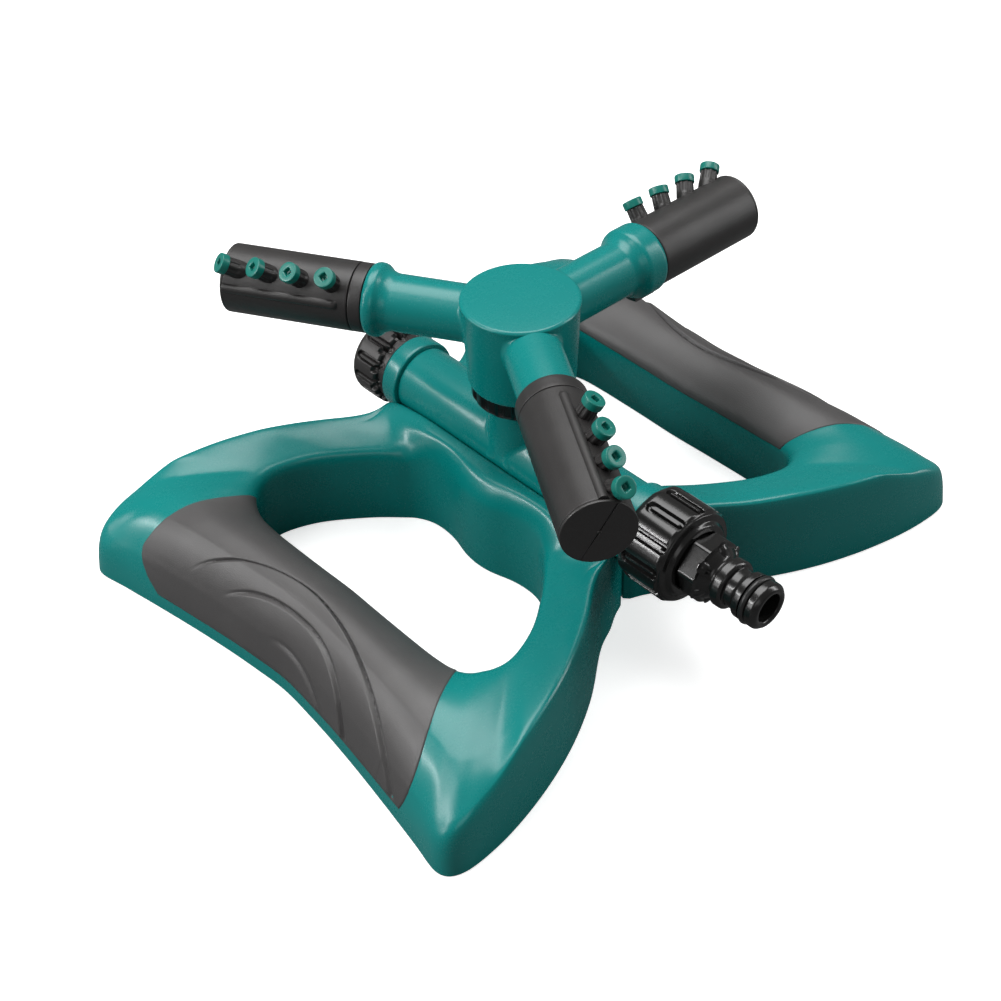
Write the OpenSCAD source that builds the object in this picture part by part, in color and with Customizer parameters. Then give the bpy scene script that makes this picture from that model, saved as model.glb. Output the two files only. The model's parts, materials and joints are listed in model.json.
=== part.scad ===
// Three-arm rotating lawn sprinkler on a moulded wing base.
// Millimetres, Z up, ground at z = 0, rotor axis on Z, water tube along Y (inlet at -Y).

/* [Base] */
// overall length of the base across both wings
base_length = 239; // [222:1:258]
// overall width of the base along the water tube
base_width = 187; // [176:1:202]
// height of the side bars of the base at their ridge
base_height = 33.5; // [30:0.5:36]
// moulded wall thickness of the base shell
base_wall = 2.8; // [2.2:0.1:3.4]
// thickness of the soft grip pads
grip_thick = 2; // [1.2:0.1:2.6]

/* [Water tube] */
// outer diameter of the horizontal tube and of the post
tube_d = 24; // [22:0.5:25]
// height of the tube axis above the ground
tube_z = 39.8; // [37:0.2:43]
// water bore of the tube and the post
tube_bore = 15; // [12:0.5:16]
// length of the bare tube on each side of the post axis
tube_half = 51.8; // [50:0.5:56]
// outer diameter of the threaded tube ends
end_thread_d = 22.6; // [21.8:0.2:23]

/* [Rotor] */
// height of the arm axes above the ground
arm_z = 91.2; // [88:0.2:96]
// diameter of the disc on top of the hub
hub_d = 39; // [37:0.5:42]
// height of the hub body under its top disc
hub_h = 24.4; // [23:0.2:27]
// diameter of the knurled swivel collar
collar_d = 34; // [33:0.5:36]
// height of the swivel collar
collar_h = 13.6; // [12.6:0.2:14.6]
// distance from the rotor axis to the end of each nozzle barrel
arm_reach = 100.2; // [94:0.5:108]
// outer diameter of the arm tubes
arm_d = 19; // [18:0.2:20]
// outer diameter of the nozzle barrels
barrel_d = 23; // [22.2:0.2:24.6]

/* [Nozzles] */
// spacing of the nozzle stubs along a barrel
nozzle_pitch = 11.1; // [10.6:0.1:11.6]
// diameter of the nozzle tips
nozzle_d = 6.8; // [5.8:0.1:7.2]
// diameter of the jet orifice in each tip
orifice_d = 2.2; // [1:0.1:2.6]
// angle by which the row of nozzles leans over from the vertical
nozzle_lean = 37; // [20:1:45]
// outward tilt of the innermost nozzle
nozzle_tilt = 4; // [0:1:8]
// angle between neighbouring nozzles of the fan
nozzle_fan = 13; // [8:0.5:14]
// downward slope of the arms
arm_droop = 0.9; // [0:0.1:1.5]

/* [Inlet and end cap] */
// outer diameter of the coupling nut
nut_d = 33.4; // [32:0.2:36]
// length of the coupling nut
nut_len = 20; // [18.5:0.5:22]
// outer diameter of the quick-connect nipple tip
tip_d = 16; // [15.8:0.1:16.2]
// distance from the rotor axis to the nipple tip
nipple_reach = 109; // [107:0.5:112]
// outer diameter of the end cap
cap_d = 29.2; // [28.6:0.2:32]
// length of the end cap
cap_len = 13.4; // [12:0.2:16]

/* [Fits] */
// gap between parts that turn on each other, on the radius
turn_gap = 0.3; // [0.3:0.05:0.4]
// clearance around parts that are fastened together, on the radius
seat_gap = 0.15; // [0.1:0.05:0.2]

/* [Hidden] */
$fn = 96;
e = 0.01;

green = [0.0,0.46,0.42];
black = [0.08,0.08,0.085];
grey  = [0.25,0.24,0.25];
steel = [0.7,0.7,0.7];

// ---- derived sizes
tube_r = tube_d/2;  bore_r = tube_bore/2;
ring_r = tube_r + 1.6;           // raised rings near the tube ends
ring_len = 7;
arm_r = arm_d/2;  barrel_r = barrel_d/2;
hub_r = hub_d/2;
hub_top = arm_z + 9.8;           // upper face of the hub disc
hub_bot = hub_top - hub_h;
hub_r2 = hub_r - 1.7;
collar_r = collar_d/2;
collar_top = hub_bot - turn_gap*2;
collar_bot = collar_top - collar_h;
post_top = collar_top - 7;       // top of the post flange
flange_t = 2.6;
post_flange_r = tube_r + 1.3;
spigot_r = 8.8;                  // post spigot turning inside the hub
spigot_top = arm_z - 6.6;
skirt_r = post_flange_r + turn_gap + 1.1;   // hub skirt carrying the collar thread
nut_r = nut_d/2;
cap_r = cap_d/2;
nut_y0 = tube_half + ring_len + 0.5;        // inner face of the coupling nut
nut_y1 = nut_y0 + nut_len;
thread_len = 11;                 // male thread beyond each raised ring
tube_end = tube_half + ring_len + thread_len;
cap_y0 = tube_half + ring_len + 3;
cap_y1 = cap_y0 + cap_len;
tip_r = tip_d/2;

// ---- base surface: control sections from the outer bar (0) round to the waist (19)
SX = base_length/2/118;  SY = base_width/2/92.3;  SZ = base_height/33;
HOLE = [[75,0],[75.3,13],[75.5,26],[75.5,38],[75,47],[73.2,52.8],[70.3,56.2],[66.5,58.2],[62,58.8],[56,57.5],
 [48,54],[40,48.5],[32,42],[26,36],[22.4,32],[19.9,26.5],[19.3,20.5],[20.2,13.5],[22.2,7],[23,0]];
RIM = [[106,0],[107,14],[108.5,28],[110.6,43],[113.2,59],[116,75],[118,87.3],[112.5,92.2],[100,92.3],[86,90],
 [70,85.5],[54,79],[38,70],[22,58],[13.8,53.2],[0,47.6],[0,30],[0,18],[0,8],[0,0]];
// width fractions and heights of the section profiles: outer bar, side bar, corner, waist flank
PS = [[0,0,.03,.10,.22,.38,.50,.62,.74,.84,.905,.955,.985,1],
      [0,0,.03,.10,.22,.38,.52,.66,.78,.86,.905,.935,.965,1],
      [0,0,.03,.10,.22,.38,.50,.62,.74,.84,.905,.955,.985,1]];
PZ = [[0,21,24,26.4,29.2,31.3,31.4,30,26.8,22,16.8,10,4.5,0],
      [0,26,28.6,29.8,30.4,31.2,31.9,32.5,32.9,33,32.2,29.5,16,0],
      [0,25,28,29.2,30.0,30.0,28.8,26.4,22.8,18,15,12.3,8,0]];
FS = [0,0,.10,.22,.36,.54,.76,1];           // flank stations from the hole edge to the trough
FZ = [0,30,33.8,36.4,37.8,38.3,38.4,38.2];
WT = [[1,0,0],[1,0,0],[1,0,0],[1,0,0],[.85,0,.15],[.45,0,.55],[.05,.05,.9],[0,.35,.65],[0,.75,.25],[0,1,0],
 [0,1,0],[0,1,0],[0,1,0],[0,1,0],[0,1,0]];
RIDGE = [1,1,1,1,1,1,1,.92,.84,.91,.965,1,1,1.02,1.05];
JT = 10;  NJ = 14;  T_A = 14;  T_END = 15;  GRIP_T = 4.45;
tr1 = tube_r + seat_gap + 1.65;            // trough half width at its top and at its floor
tr0 = tr1 - 0.2;
tr_z = tube_z - tube_r - 1.8;              // trough floor
zwaist = (tube_z - 1.6)/38.2;
function mir(a,i,n) = i < 0 ? [a[-i][0],-a[-i][1]] : i >= n ? [a[2*(n-1)-i][0],-a[2*(n-1)-i][1]] : a[i];
function cr4(p,q,r,s,f) = 0.5*((2*q)+(r-p)*f+(2*p-5*q+4*r-s)*f*f+(3*q-p-3*r+s)*f*f*f);
function pt(a,t) = let(n=len(a),i=min(floor(t),n-2),f=t-i)
  cr4(mir(a,i-1,n),mir(a,i,n),mir(a,i+1,n),mir(a,i+2,n),f);
function li(a,t) = let(i=min(floor(t),len(a)-2),f=t-i) a[i]*(1-f)+a[i+1]*f;
function hpt(t) = let(p=pt(HOLE,t)) [p[0]*SX,p[1]*SY];
function opt(t) = t > T_END ? [0,li([for (p=RIM) p[1]],t)*SY] : t >= T_A ? let(f=t-T_A) [tr1*(1-f),(RIM[14][1]*(1-f)+RIM[15][1]*f)*SY] : let(p=pt(RIM,t)) [p[0]*SX,p[1]*SY];
function unit2(v) = v/max(norm(v),0.001);
function mix3(t,j,A) = let(w=li(WT,t)) w[0]*A[0][j]+w[1]*A[1][j]+w[2]*A[2][j];
function zlow(j) = tr_z*[1,1,1,1,1,1,1,1,1,1,1,.96,.5,0][j];
function at_x(t,x) = let(h=hpt(t),o=opt(t)) h+(o-h)*min(1,(h[0]-x)/(h[0]-o[0]));
// one point of the outer skin for section t >= 0
function skin(t,j) = t >= T_A ? let(a=at_x(t,tr1),b=at_x(t,tr0),h=hpt(t),o=opt(t),f=t==T_A ? 0.5 : 1,
     q=j<8 ? h+(a-h)*FS[j] : j==8 ? b : j==9 ? (b+o)/2 : o)
     [q[0],q[1],j<8 ? FZ[j]*zwaist*f+(1-f)*[0,26,29,30.6,31.8,32.8,33.4,33.8][j]*SZ : j==8||j==9 ? tr_z-(t==T_A?0.2*(j-8):0) : zlow(j)-(t==T_A&&j==10?0.4:0)]
   : let(h=hpt(t),o=opt(t),s=mix3(t,j,PS),q=h+(o-h)*s) [q[0],q[1],mix3(t,j,PZ)*SZ*(1-s+s*li(RIDGE,t))];
// inward normal of the skin inside its section plane
function nrm(t,j) = let(a=skin(t,max(j-1,0)),b=skin(t,min(j+1,NJ-1)),h=hpt(t),o=opt(t),d=unit2(o-h),
   u=norm([b[0]-a[0],b[1]-a[1]]),v=b[2]-a[2],m=max(sqrt(u*u+v*v),0.001)) [d[0]*v/m,d[1]*v/m,-u/m];
function sgn(t) = t < 0 ? -1 : 1;
function mirror_y(p,t) = [p[0],p[1]*sgn(t),p[2]];
function masked(t,j,tg) = abs(t) < tg && j > 1 && j < 12;
function outer(t,j,tg,g) = let(a=abs(t)) mirror_y(masked(t,j,tg) ? skin(a,j)+nrm(a,j)*g : skin(a,j),t);
// hollow underside, walked back from the rim to the hole
JIN = [13,11,10,8,6,5,3,1,0];
function inwall(a,j,w) = let(h=hpt(a),o=opt(a),d=unit2(o-h),sk=skin(a,j),n=nrm(a,j))
   j==13 ? [sk[0]-d[0]*w,sk[1]-d[1]*w,0] : j==11 ? [sk[0]-d[0]*w,sk[1]-d[1]*w,sk[2]] :
   j==1 ? [sk[0]+d[0]*w,sk[1]+d[1]*w,sk[2]-1.5] : j==0 ? [sk[0]+d[0]*w,sk[1]+d[1]*w,0] : sk+n*w;
function intrough(a,k,w) = let(h=hpt(a),o=opt(a),d=unit2(o-h),dw=a==T_A ? d : a >= T_END ? [0,1] : [-0.36*(T_END-a),0.93],
     r=a > T_END ? o : [max(0,o[0]-dw[0]*w),o[1]-dw[1]*w], z=tr_z-w,
     x=a==T_A ? h+(o-h)*[0,0,0,.75,.6,.48,.34,0,0][k]+(k > 6 ? d*w : [0,0]) : at_x(a,tr0+[0,0,0,0,.3,.5,.6,.7,.8][k]))
   k==0 ? [r[0],r[1],0] : k==1 ? [r[0],r[1],z-1] : k==2 ? [r[0],r[1],z] :
   [x[0],x[1],a==T_A ? [0,0,0,z,z,z,z,z-1.5,0][k] : [0,0,0,z,z-1,z-4,12,5,0][k]];
function insec(t,k,g) = let(a=abs(t),w=base_wall+(a<GRIP_T+0.6?g:0)) mirror_y(a >= T_A ? intrough(a,k,w) : inwall(a,JIN[k],w),t);
NI = len(JIN);  NP = NJ+NI;
TS0 = concat([for (k=[0:0.5:4]) k],[GRIP_T-0.12,GRIP_T],[for (k=[5:0.5:13]) k],[13.4,13.75,14,14.3,14.65,15,15.5,16,17,18,19]);
TSN = len(TS0);
TS = concat([for (k=[0:TSN-1]) TS0[k]],[for (k=[TSN-2:-1:1]) -TS0[k]]);
NS = len(TS);
function waist(i) = abs(TS[i]) >= T_END;
function ppt(side,i,p,g) = let(q = p<NJ ? outer(TS[i],p,GRIP_T-0.06,g) : insec(TS[i],p-NJ,g)) [q[0]*side,q[1],q[2]];
// both wings share the points on the x = 0 line
function pid(side,i,p) = (side > 0 && waist(i) && p >= JT && p <= NJ+2) ? i*NP+p : (side > 0 ? NS*NP : 0)+i*NP+p;
module base_skin() {
  pts = concat([for (i=[0:NS-1]) for (p=[0:NP-1]) ppt(-1,i,p,grip_thick)],[for (i=[0:NS-1]) for (p=[0:NP-1]) ppt(1,i,p,grip_thick)]);
  fc = [for (s=[-1,1]) for (i=[0:NS-1]) let(k=(i+1)%NS) for (p=[0:NP-1]) let(q=(p+1)%NP)
     if (!(waist(i) && waist(k) && p >= JT && p < NJ+2))
      let(a=pid(s,i,p),b=pid(s,k,p),c=pid(s,k,q),d=pid(s,i,q)) each (s > 0 ? [[a,b,c],[a,c,d]] : [[a,c,b],[a,d,c]])];
  polyhedron(pts,fc,convexity=12);
}
GT = concat([for (k=[TSN-1:-1:0]) if (TS0[k] <= GRIP_T) -TS0[k]],[for (k=[1:TSN-1]) if (TS0[k] <= GRIP_T) TS0[k]]);
NG = len(GT);
module grip_pad(side) {
  // rows: outer skin stations 1..12, then the seat stations 11..2
  row = concat([for (j=[1:12]) j],[for (j=[11:-1:2]) -j]);  nr = len(row);
  pts = [for (i=[0:NG-1]) for (r=row) let(q = r > 0 ? outer(GT[i],r,0,0) : outer(GT[i],-r,GRIP_T-0.06,grip_thick)) [q[0]*side,q[1],q[2]]];
  sidef = [for (i=[0:NG-2]) for (r=[0:nr-1]) let(q=(r+1)%nr,a=gid(i,r,nr),b=gid(i+1,r,nr),c=gid(i+1,q,nr),d=gid(i,q,nr))
     each (side > 0 ? [[a,b,c],[a,c,d]] : [[a,c,b],[a,d,c]])];
  polyhedron(pts,sidef,convexity=6);
}
function gid(i,r,nr) = (i==0 || i==NG-1) && r >= 12 ? i*nr+22-r : i*nr+r;

// ---- helpers
module ty(y0,y1,r,z=tube_z) translate([0,y0,z]) rotate([-90,0,0]) cylinder(r=r,h=y1-y0);
module tz(z0,z1,r) translate([0,0,z0]) cylinder(r=r,h=z1-z0);
module tx(x0,x1,r) translate([x0,0,0]) rotate([0,90,0]) cylinder(r=r,h=x1-x0);
module lathe_y(p) translate([0,0,tube_z]) rotate([-90,0,0]) rotate_extrude() polygon(p);   // p = [radius, y]
module torus(R,r) rotate_extrude() translate([R,0]) circle(r=r,$fn=48);
// elongated pocket on the skin of a cylinder along Y, with a raised rib left inside
module pocket(y0,y1,r,w,d) {
  difference() {
    union() {
      translate([-w/2,y0+w/2,r-d]) cube([w,y1-y0-w,d+2]);
      for (y=[y0+w/2,y1-w/2]) translate([0,y,r-d]) cylinder(r=w/2,h=d+2,$fn=24);
    }
    translate([-w*0.19,y0+w*0.75,r-d-1]) cube([w*0.38,y1-y0-w*1.5,d+0.75]);
  }
}
ARM = [-120.8,-0.8,119.2];                 // headings of the front, right and left arms
SET = [-9,7,2];                            // each barrel's own turn from the common lean
RIB = [-0.62,1,1];                         // side of the row on which the barrel rib runs
flange0 = 46.3;
flange1 = [0,55.2,50.6];                   // outer face of each arm flange, none on the front arm
ring0 = [42.5,0,50.9];                     // inner face of each lock ring
ring_w = [5.4,0,4.3];
barrel0 = [48.2,55.5,55.5];                // inner end of each barrel
spig_r = arm_r - 0.6;                      // arm spigot inside the barrel
barrel_bore = spig_r + turn_gap;
plug_t = 1.1;
spig_end = 58.6;
rib_turn = 34;                             // angle of the barrel rib from the nozzle row
rib_w = 2.1;
rib_h = 0.75;
nozzle0 = arm_reach - 38.8;                // place of the innermost nozzle on the barrel surface
stub_h = 3.95;                             // height of a stub over the barrel surface
tip_h = 2.7;
tab_w = 9;                                 // latch tab under the right-hand flange
tab_x = 47.6;
tab_r = barrel_r + 2.3;
module arm(k) translate([0,0,arm_z]) rotate([0,arm_droop,ARM[k]]) children();
module row(k) rotate([-(nozzle_lean+SET[k]),0,0]) for (i=[0:3])
  translate([nozzle0+i*nozzle_pitch,0,barrel_r]) rotate([0,nozzle_tilt+i*nozzle_fan,0]) children();

thr_r = end_thread_d/2;                    // crest of the tube-end thread
cap_floor = tube_end + 2.6;
flange_y0 = tube_end + 2.6;                // inner face of the nipple flange

// ---- base
lug_y = [-38,-20,20,38];
floor_bot = tr_z - base_wall;
lug_bot = floor_bot - 0.5;
cradle_r = tube_r + seat_gap;
module base_shell() color(green) difference() {
  base_skin();
  for (y=lug_y) translate([0,y,floor_bot-2]) cylinder(r=4.3,h=base_wall+4);
}
// saddle insert that lies in the trough of the base and carries the tube
module tube_cradle() color(green) difference() {
  translate([-tr0+seat_gap,-46,tr_z]) cube([2*tr0-2*seat_gap,92,tube_z-2.4-tr_z]);
  ty(-50,50,cradle_r);
  for (y=lug_y) translate([0,y,tr_z-1]) cylinder(r=4+seat_gap,h=8);
}
module grip_left() color(grey) grip_pad(-1);
module grip_right() color(grey) grip_pad(1);
module tee_screws() color(steel) for (y=lug_y) translate([0,y,0]) {
  translate([0,0,lug_bot-0.5]) cylinder(r=1.5,h=8.6);
  difference() {
    union() { translate([0,0,lug_bot-1.12]) cylinder(r=6,h=1.1); translate([0,0,floor_bot-3.4]) cylinder(r=3.1,h=2.4); }
    translate([-2.2,-0.4,floor_bot-4]) cube([4.4,0.8,1.6]);
    translate([-0.4,-2.2,floor_bot-4]) cube([0.8,4.4,1.6]);
  }
}

// ---- water tube with its post
module water_tee() color(green) difference() {
  union() {
    ty(-tube_half-1,tube_half+1,tube_r);
    for (m=[0,1]) mirror([0,m,0]) {
      ty(tube_half,tube_half+ring_len,ring_r);
      ty(tube_half+ring_len-1,tube_end,thr_r-0.9);
      for (k=[0:4]) ty(tube_half+ring_len+1.4+k*1.814,tube_half+ring_len+2.4+k*1.814,thr_r);
    }
    tz(tube_z,post_top-0.5,tube_r-0.1);
    tz(post_top-flange_t,post_top,post_flange_r);
    tz(post_top-1,spigot_top,spigot_r);
    for (y=lug_y) translate([0,y,lug_bot]) cylinder(r=4,h=tube_z-lug_bot-tube_r+3);
  }
  ty(-tube_end-1,tube_end+1,bore_r);
  tz(tube_z,spigot_top+1,bore_r-1.4);
  difference() { tz(spigot_top-6.4,spigot_top-3.8,spigot_r+1); tz(spigot_top-7,spigot_top-3,spigot_r-1.5); }
  for (y=lug_y) translate([0,y,lug_bot-1]) cylinder(r=1.55,h=9.5);
}

// ---- end cap
module end_cap() color(black) difference() {
  lathe_y([[0,cap_y1],[0,cap_floor],[thr_r+turn_gap,cap_floor],[thr_r+turn_gap,cap_y0-2.6],[thr_r+1.4,cap_y0-2.6],[thr_r+1.4,cap_y0],
    [cap_r-0.5,cap_y0],[cap_r,cap_y0+0.5],[cap_r,cap_y1-2],[cap_r-0.6,cap_y1-0.7],[cap_r-2,cap_y1],[cap_r-4.2,cap_y1],[cap_r-4.8,cap_y1-0.9],[3,cap_y1-0.9],[2.6,cap_y1]]);
  for (k=[0:11]) translate([0,0,tube_z]) rotate([0,k*30,0]) pocket(cap_y0+2.8,cap_y1-2.4,cap_r,3.4,1.3);
  for (k=[0:17]) translate([0,0,tube_z]) rotate([0,k*20+5,0]) translate([0,cap_y0-1,cap_r+0.5]) rotate([-90,0,0]) cylinder(r=1.5,h=2.6,$fn=24);
}
module end_cap_seal() color(black) difference() {
  ty(tube_end+turn_gap,cap_floor-turn_gap,thr_r-0.3);
  ty(tube_end,cap_floor,bore_r-2);
}

// ---- inlet
module coupling_nut() color(black) mirror([0,1,0]) difference() {
  lathe_y([[thr_r+turn_gap,nut_y0],[nut_r-1.2,nut_y0],[nut_r-0.3,nut_y0+0.8],[nut_r,nut_y0+2],[nut_r,nut_y1-4.2],[nut_r-0.5,nut_y1-2.6],[nut_r-1.7,nut_y1-1.6],[nut_r-3.1,nut_y1-1.3],
    [nut_r-3.3,nut_y1-0.6],[nut_r-4.2,nut_y1],[9.5,nut_y1],[9.5,flange_y0+2.9],[thr_r+turn_gap,flange_y0+2.9]]);
  for (k=[0:10]) translate([0,0,tube_z]) rotate([0,k*360/11+9,0]) pocket(nut_y0+2.8,nut_y1-3.6,nut_r,3.8,1.5);
}
module inlet_washer() color(black) mirror([0,1,0]) difference() {
  ty(tube_end+turn_gap,flange_y0-0.2,thr_r-0.3);
  ty(tube_end,flange_y0+1,5.6);
}
groove_y = nipple_reach - 5.4;             // middle of the seal groove
module hose_nipple() color(black) mirror([0,1,0]) difference() {
  union() {
    lathe_y([[0,flange_y0],[thr_r-0.7,flange_y0],[thr_r-0.7,flange_y0+2.5],[8.9,flange_y0+2.5],[8.9,nut_y1+0.9],[8.9,nut_y1+6],
      [8.4,nut_y1+8.6],[6.9,nut_y1+9.8],[6.6,nipple_reach-18.6],[7.4,nipple_reach-17.6],[tip_r+0.5,nipple_reach-17.2],[tip_r+0.5,nipple_reach-14.4],[tip_r-0.1,nipple_reach-13.9],
      [6.7,nipple_reach-13.6],[6.7,nipple_reach-10.4],[tip_r-0.1,nipple_reach-9.4],[tip_r,nipple_reach-9.1],[tip_r,groove_y-1.5],[6.2,groove_y-1.5],
      [6.2,groove_y+1.5],[tip_r,groove_y+1.5],[tip_r,nipple_reach-1.3],[tip_r-1,nipple_reach-0.2],[tip_r-1.4,nipple_reach],[0,nipple_reach]]);
    translate([0,nut_y1+0.5,tube_z]) rotate([-90,0,0]) rotate([0,0,15]) cylinder(r=10.9,h=6.6,$fn=6);
    for (k=[0:5]) translate([0,0,tube_z]) rotate([0,k*60,0]) translate([0,nut_y1+7,8.4]) rotate([-90,0,0]) cylinder(r=1,h=1.6,$fn=24);
  }
  ty(flange_y0-1,nipple_reach+1,4.9);
  ty(flange_y0-1,flange_y0+1.6,6.4);
}
module nipple_o_ring() color(black) translate([0,-groove_y,tube_z]) rotate([90,0,0]) torus(tip_r-0.6,1.1);

// ---- swivel
lip_t = 2.1;
module swivel_collar() color(black) difference() {
  rotate_extrude() polygon([[tube_r+turn_gap,collar_bot],[collar_r-1.9,collar_bot],[collar_r-0.9,collar_bot+0.6],[collar_r-0.4,collar_bot+2],[collar_r,collar_top-2.4],[collar_r-0.3,collar_top],
     [skirt_r+turn_gap,collar_top],[skirt_r+turn_gap,collar_bot+lip_t],[tube_r+turn_gap,collar_bot+lip_t]]);
  for (k=[0:17]) rotate([0,0,k*20]) translate([collar_r+0.55,0,collar_bot+1.8]) cylinder(r=1.3,h=collar_h-4.6,$fn=24);
}
module slip_washer() color([0.85,0.85,0.8]) difference() {
  tz(collar_bot+lip_t+turn_gap,post_top-flange_t-turn_gap,post_flange_r);
  tz(collar_bot,post_top,tube_r+turn_gap);
}
module swivel_o_ring() color(black) translate([0,0,spigot_top-5.1]) torus(spigot_r-0.65,0.82);

// ---- rotor
chamber_r = hub_r - 5.6;
module rotor_hub() color(green) difference() {
  rotate_extrude() polygon([[0,hub_top-1.9],[hub_r-0.2,hub_top-1.9],[hub_r2,hub_bot+0.5],[hub_r2-0.5,hub_bot],[skirt_r,hub_bot],[skirt_r,post_top+0.5],[0,post_top+0.5]]);
  tz(post_top-1,spigot_top+0.6,spigot_r+turn_gap);
  tz(post_top-1,post_top+1.6,spigot_r+1.6);
  tz(spigot_top+0.5,hub_top,chamber_r);
  for (k=[0:2]) arm(k) {
    tx(chamber_r-2,hub_r+4,arm_r-1.3+seat_gap);
    tx(hub_r-2.9,hub_r+4,arm_r+seat_gap);
  }
}
module rotor_cap() color(green) difference() {
  union() {
    rotate_extrude() polygon([[0,hub_top-1.75],[hub_r-0.15,hub_top-1.75],[hub_r,hub_top-1.2],[hub_r,hub_top-0.55],[hub_r-0.5,hub_top-0.2],[hub_r*0.55,hub_top],[0,hub_top+0.15]]);
    tz(hub_top-4,hub_top-1.7,chamber_r-seat_gap);
  }
  tz(hub_top-5,hub_top-2.6,chamber_r-2.2);
  for (k=[0:2]) arm(k) tx(hub_r-2.9,hub_r+4,arm_r+seat_gap);
}
module arm_tube(k) color(green) arm(k) difference() {
  union() {
    tx(chamber_r-0.4,hub_r,arm_r-1.3);
    tx(hub_r-2.75,(k==0?ring0[0]:flange0)+(k==0?-0.15:1),arm_r);
    if (k > 0) {
      tx(flange0,flange1[k]-0.6,arm_r+2.8);
      tx(flange1[k]-0.7,flange1[k],arm_r+2.5);
      tx(flange0-0.9,flange0+0.1,arm_r+1.1);
    }
    tx(hub_r,spig_end,spig_r);
  }
  tx(0,arm_reach,6.2);
  difference() { tx(seal_x(k)-1.1,seal_x(k)+1.1,arm_r+1); tx(0,arm_reach,spig_r-1.55); }
}
function seal_x(k) = (barrel0[k]+spig_end)/2;
module barrel_seal(k) color(black) arm(k) translate([seal_x(k),0,0]) rotate([0,90,0]) torus(spig_r-0.68,0.78);
module lock_ring(k) color(black) arm(k) difference() {
  tx(ring0[k],ring0[k]+ring_w[k],barrel_r-0.05);
  tx(0,arm_reach,spig_r+seat_gap);
}
module barrel(k) color(black) arm(k) difference() {
  union() {
    tx(barrel0[k],arm_reach-plug_t-0.05,barrel_r);
    // rib beside the nozzles, with a round inner end
    rotate([-(nozzle_lean+SET[k]+RIB[k]*rib_turn),0,0]) {
      translate([barrel0[k]+4,-rib_w/2,barrel_r-1.6])
        cube([arm_reach-plug_t-barrel0[k]-4.05,rib_w,1.6+rib_h]);
      translate([barrel0[k]+4,0,barrel_r-1.6]) cylinder(r=rib_w/2,h=1.6+rib_h,$fn=32);
    }
    row(k) {
      translate([0,0,-3.2]) cylinder(r=nozzle_d/2-0.4,h=stub_h+3.2,$fn=48);
      translate([0,0,stub_h-1]) cylinder(r=nozzle_d/2-1.15,h=2.4,$fn=48);
    }
    if (k==1) latch_tab(k);
  }
  tx(0,arm_reach+1,barrel_bore);
  row(k) translate([0,0,-5]) cylinder(r=min(1.3,nozzle_d/2-1.8),h=stub_h+8,$fn=32);
}
// tab of the barrel that reaches under the flange
module latch_tab(k) intersection() {
  union() {
    difference() {
      tx(tab_x,barrel0[k]+2,tab_r);
      tx(0,barrel0[k]-0.01,arm_r+2.8+turn_gap);
    }
    tx(barrel0[k],barrel0[k]+2,tab_r);
  }
  translate([tab_x-1,-tab_w/2,-tab_r-1]) cube([barrel0[k]+4-tab_x,tab_w,6]);
}
module end_plug(k) color(black) arm(k) difference() {
  union() {
    tx(arm_reach-plug_t,arm_reach-0.35,barrel_r-0.02);
    tx(arm_reach-0.4,arm_reach,barrel_r-0.35);
    tx(arm_reach-5,arm_reach-plug_t+0.1,barrel_bore-seat_gap);
  }
  tx(arm_reach-6,arm_reach-plug_t-0.8,barrel_bore-2);
  rotate([-(nozzle_lean+SET[k]),0,0]) translate([arm_reach-0.35,-0.3,-barrel_r-1]) cube([1,0.6,2*barrel_r+2]);
  tx(arm_reach-0.6,arm_reach+1,0.7);
}
module nozzle_tips(k) color(green) arm(k) row(k) translate([0,0,stub_h+0.1]) difference() {
  union() {
    cylinder(r=nozzle_d/2,h=tip_h-0.35,$fn=48);
    translate([0,0,tip_h-0.36]) cylinder(r=nozzle_d/2-0.3,h=0.36,$fn=48);
  }
  translate([0,0,-0.3]) cylinder(r=nozzle_d/2-1,h=1.75,$fn=48);
  translate([0,0,-0.3]) cylinder(r=orifice_d/2,h=4,$fn=32);
  for (a=[0,90]) rotate([0,0,a]) translate([-orifice_d*0.72,-0.25,tip_h-0.55]) cube([orifice_d*1.44,0.5,1]);
}
module arm_tube_front() arm_tube(0);
module arm_tube_right() arm_tube(1);
module arm_tube_left() arm_tube(2);
module barrel_seal_front() barrel_seal(0);
module barrel_seal_right() barrel_seal(1);
module barrel_seal_left() barrel_seal(2);
module lock_ring_front() lock_ring(0);
module lock_ring_left() lock_ring(2);
module barrel_front() barrel(0);
module barrel_right() barrel(1);
module barrel_left() barrel(2);
module end_plug_front() end_plug(0);
module end_plug_right() end_plug(1);
module end_plug_left() end_plug(2);
module nozzle_tips_front() nozzle_tips(0);
module nozzle_tips_right() nozzle_tips(1);
module nozzle_tips_left() nozzle_tips(2);

base_shell();
grip_left();
grip_right();
tube_cradle();
water_tee();
tee_screws();
end_cap();
end_cap_seal();
coupling_nut();
hose_nipple();
nipple_o_ring();
inlet_washer();
swivel_collar();
slip_washer();
swivel_o_ring();
rotor_hub();
rotor_cap();
arm_tube_front();
arm_tube_right();
arm_tube_left();
barrel_seal_front();
barrel_seal_right();
barrel_seal_left();
lock_ring_front();
lock_ring_left();
barrel_front();
barrel_right();
barrel_left();
end_plug_front();
end_plug_right();
end_plug_left();
nozzle_tips_front();
nozzle_tips_right();
nozzle_tips_left();
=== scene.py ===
"""Looks of a three-arm rotating lawn sprinkler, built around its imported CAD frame."""
import json
import math

import bmesh
import bpy
import numpy as np
from mathutils import Matrix, Vector


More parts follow.
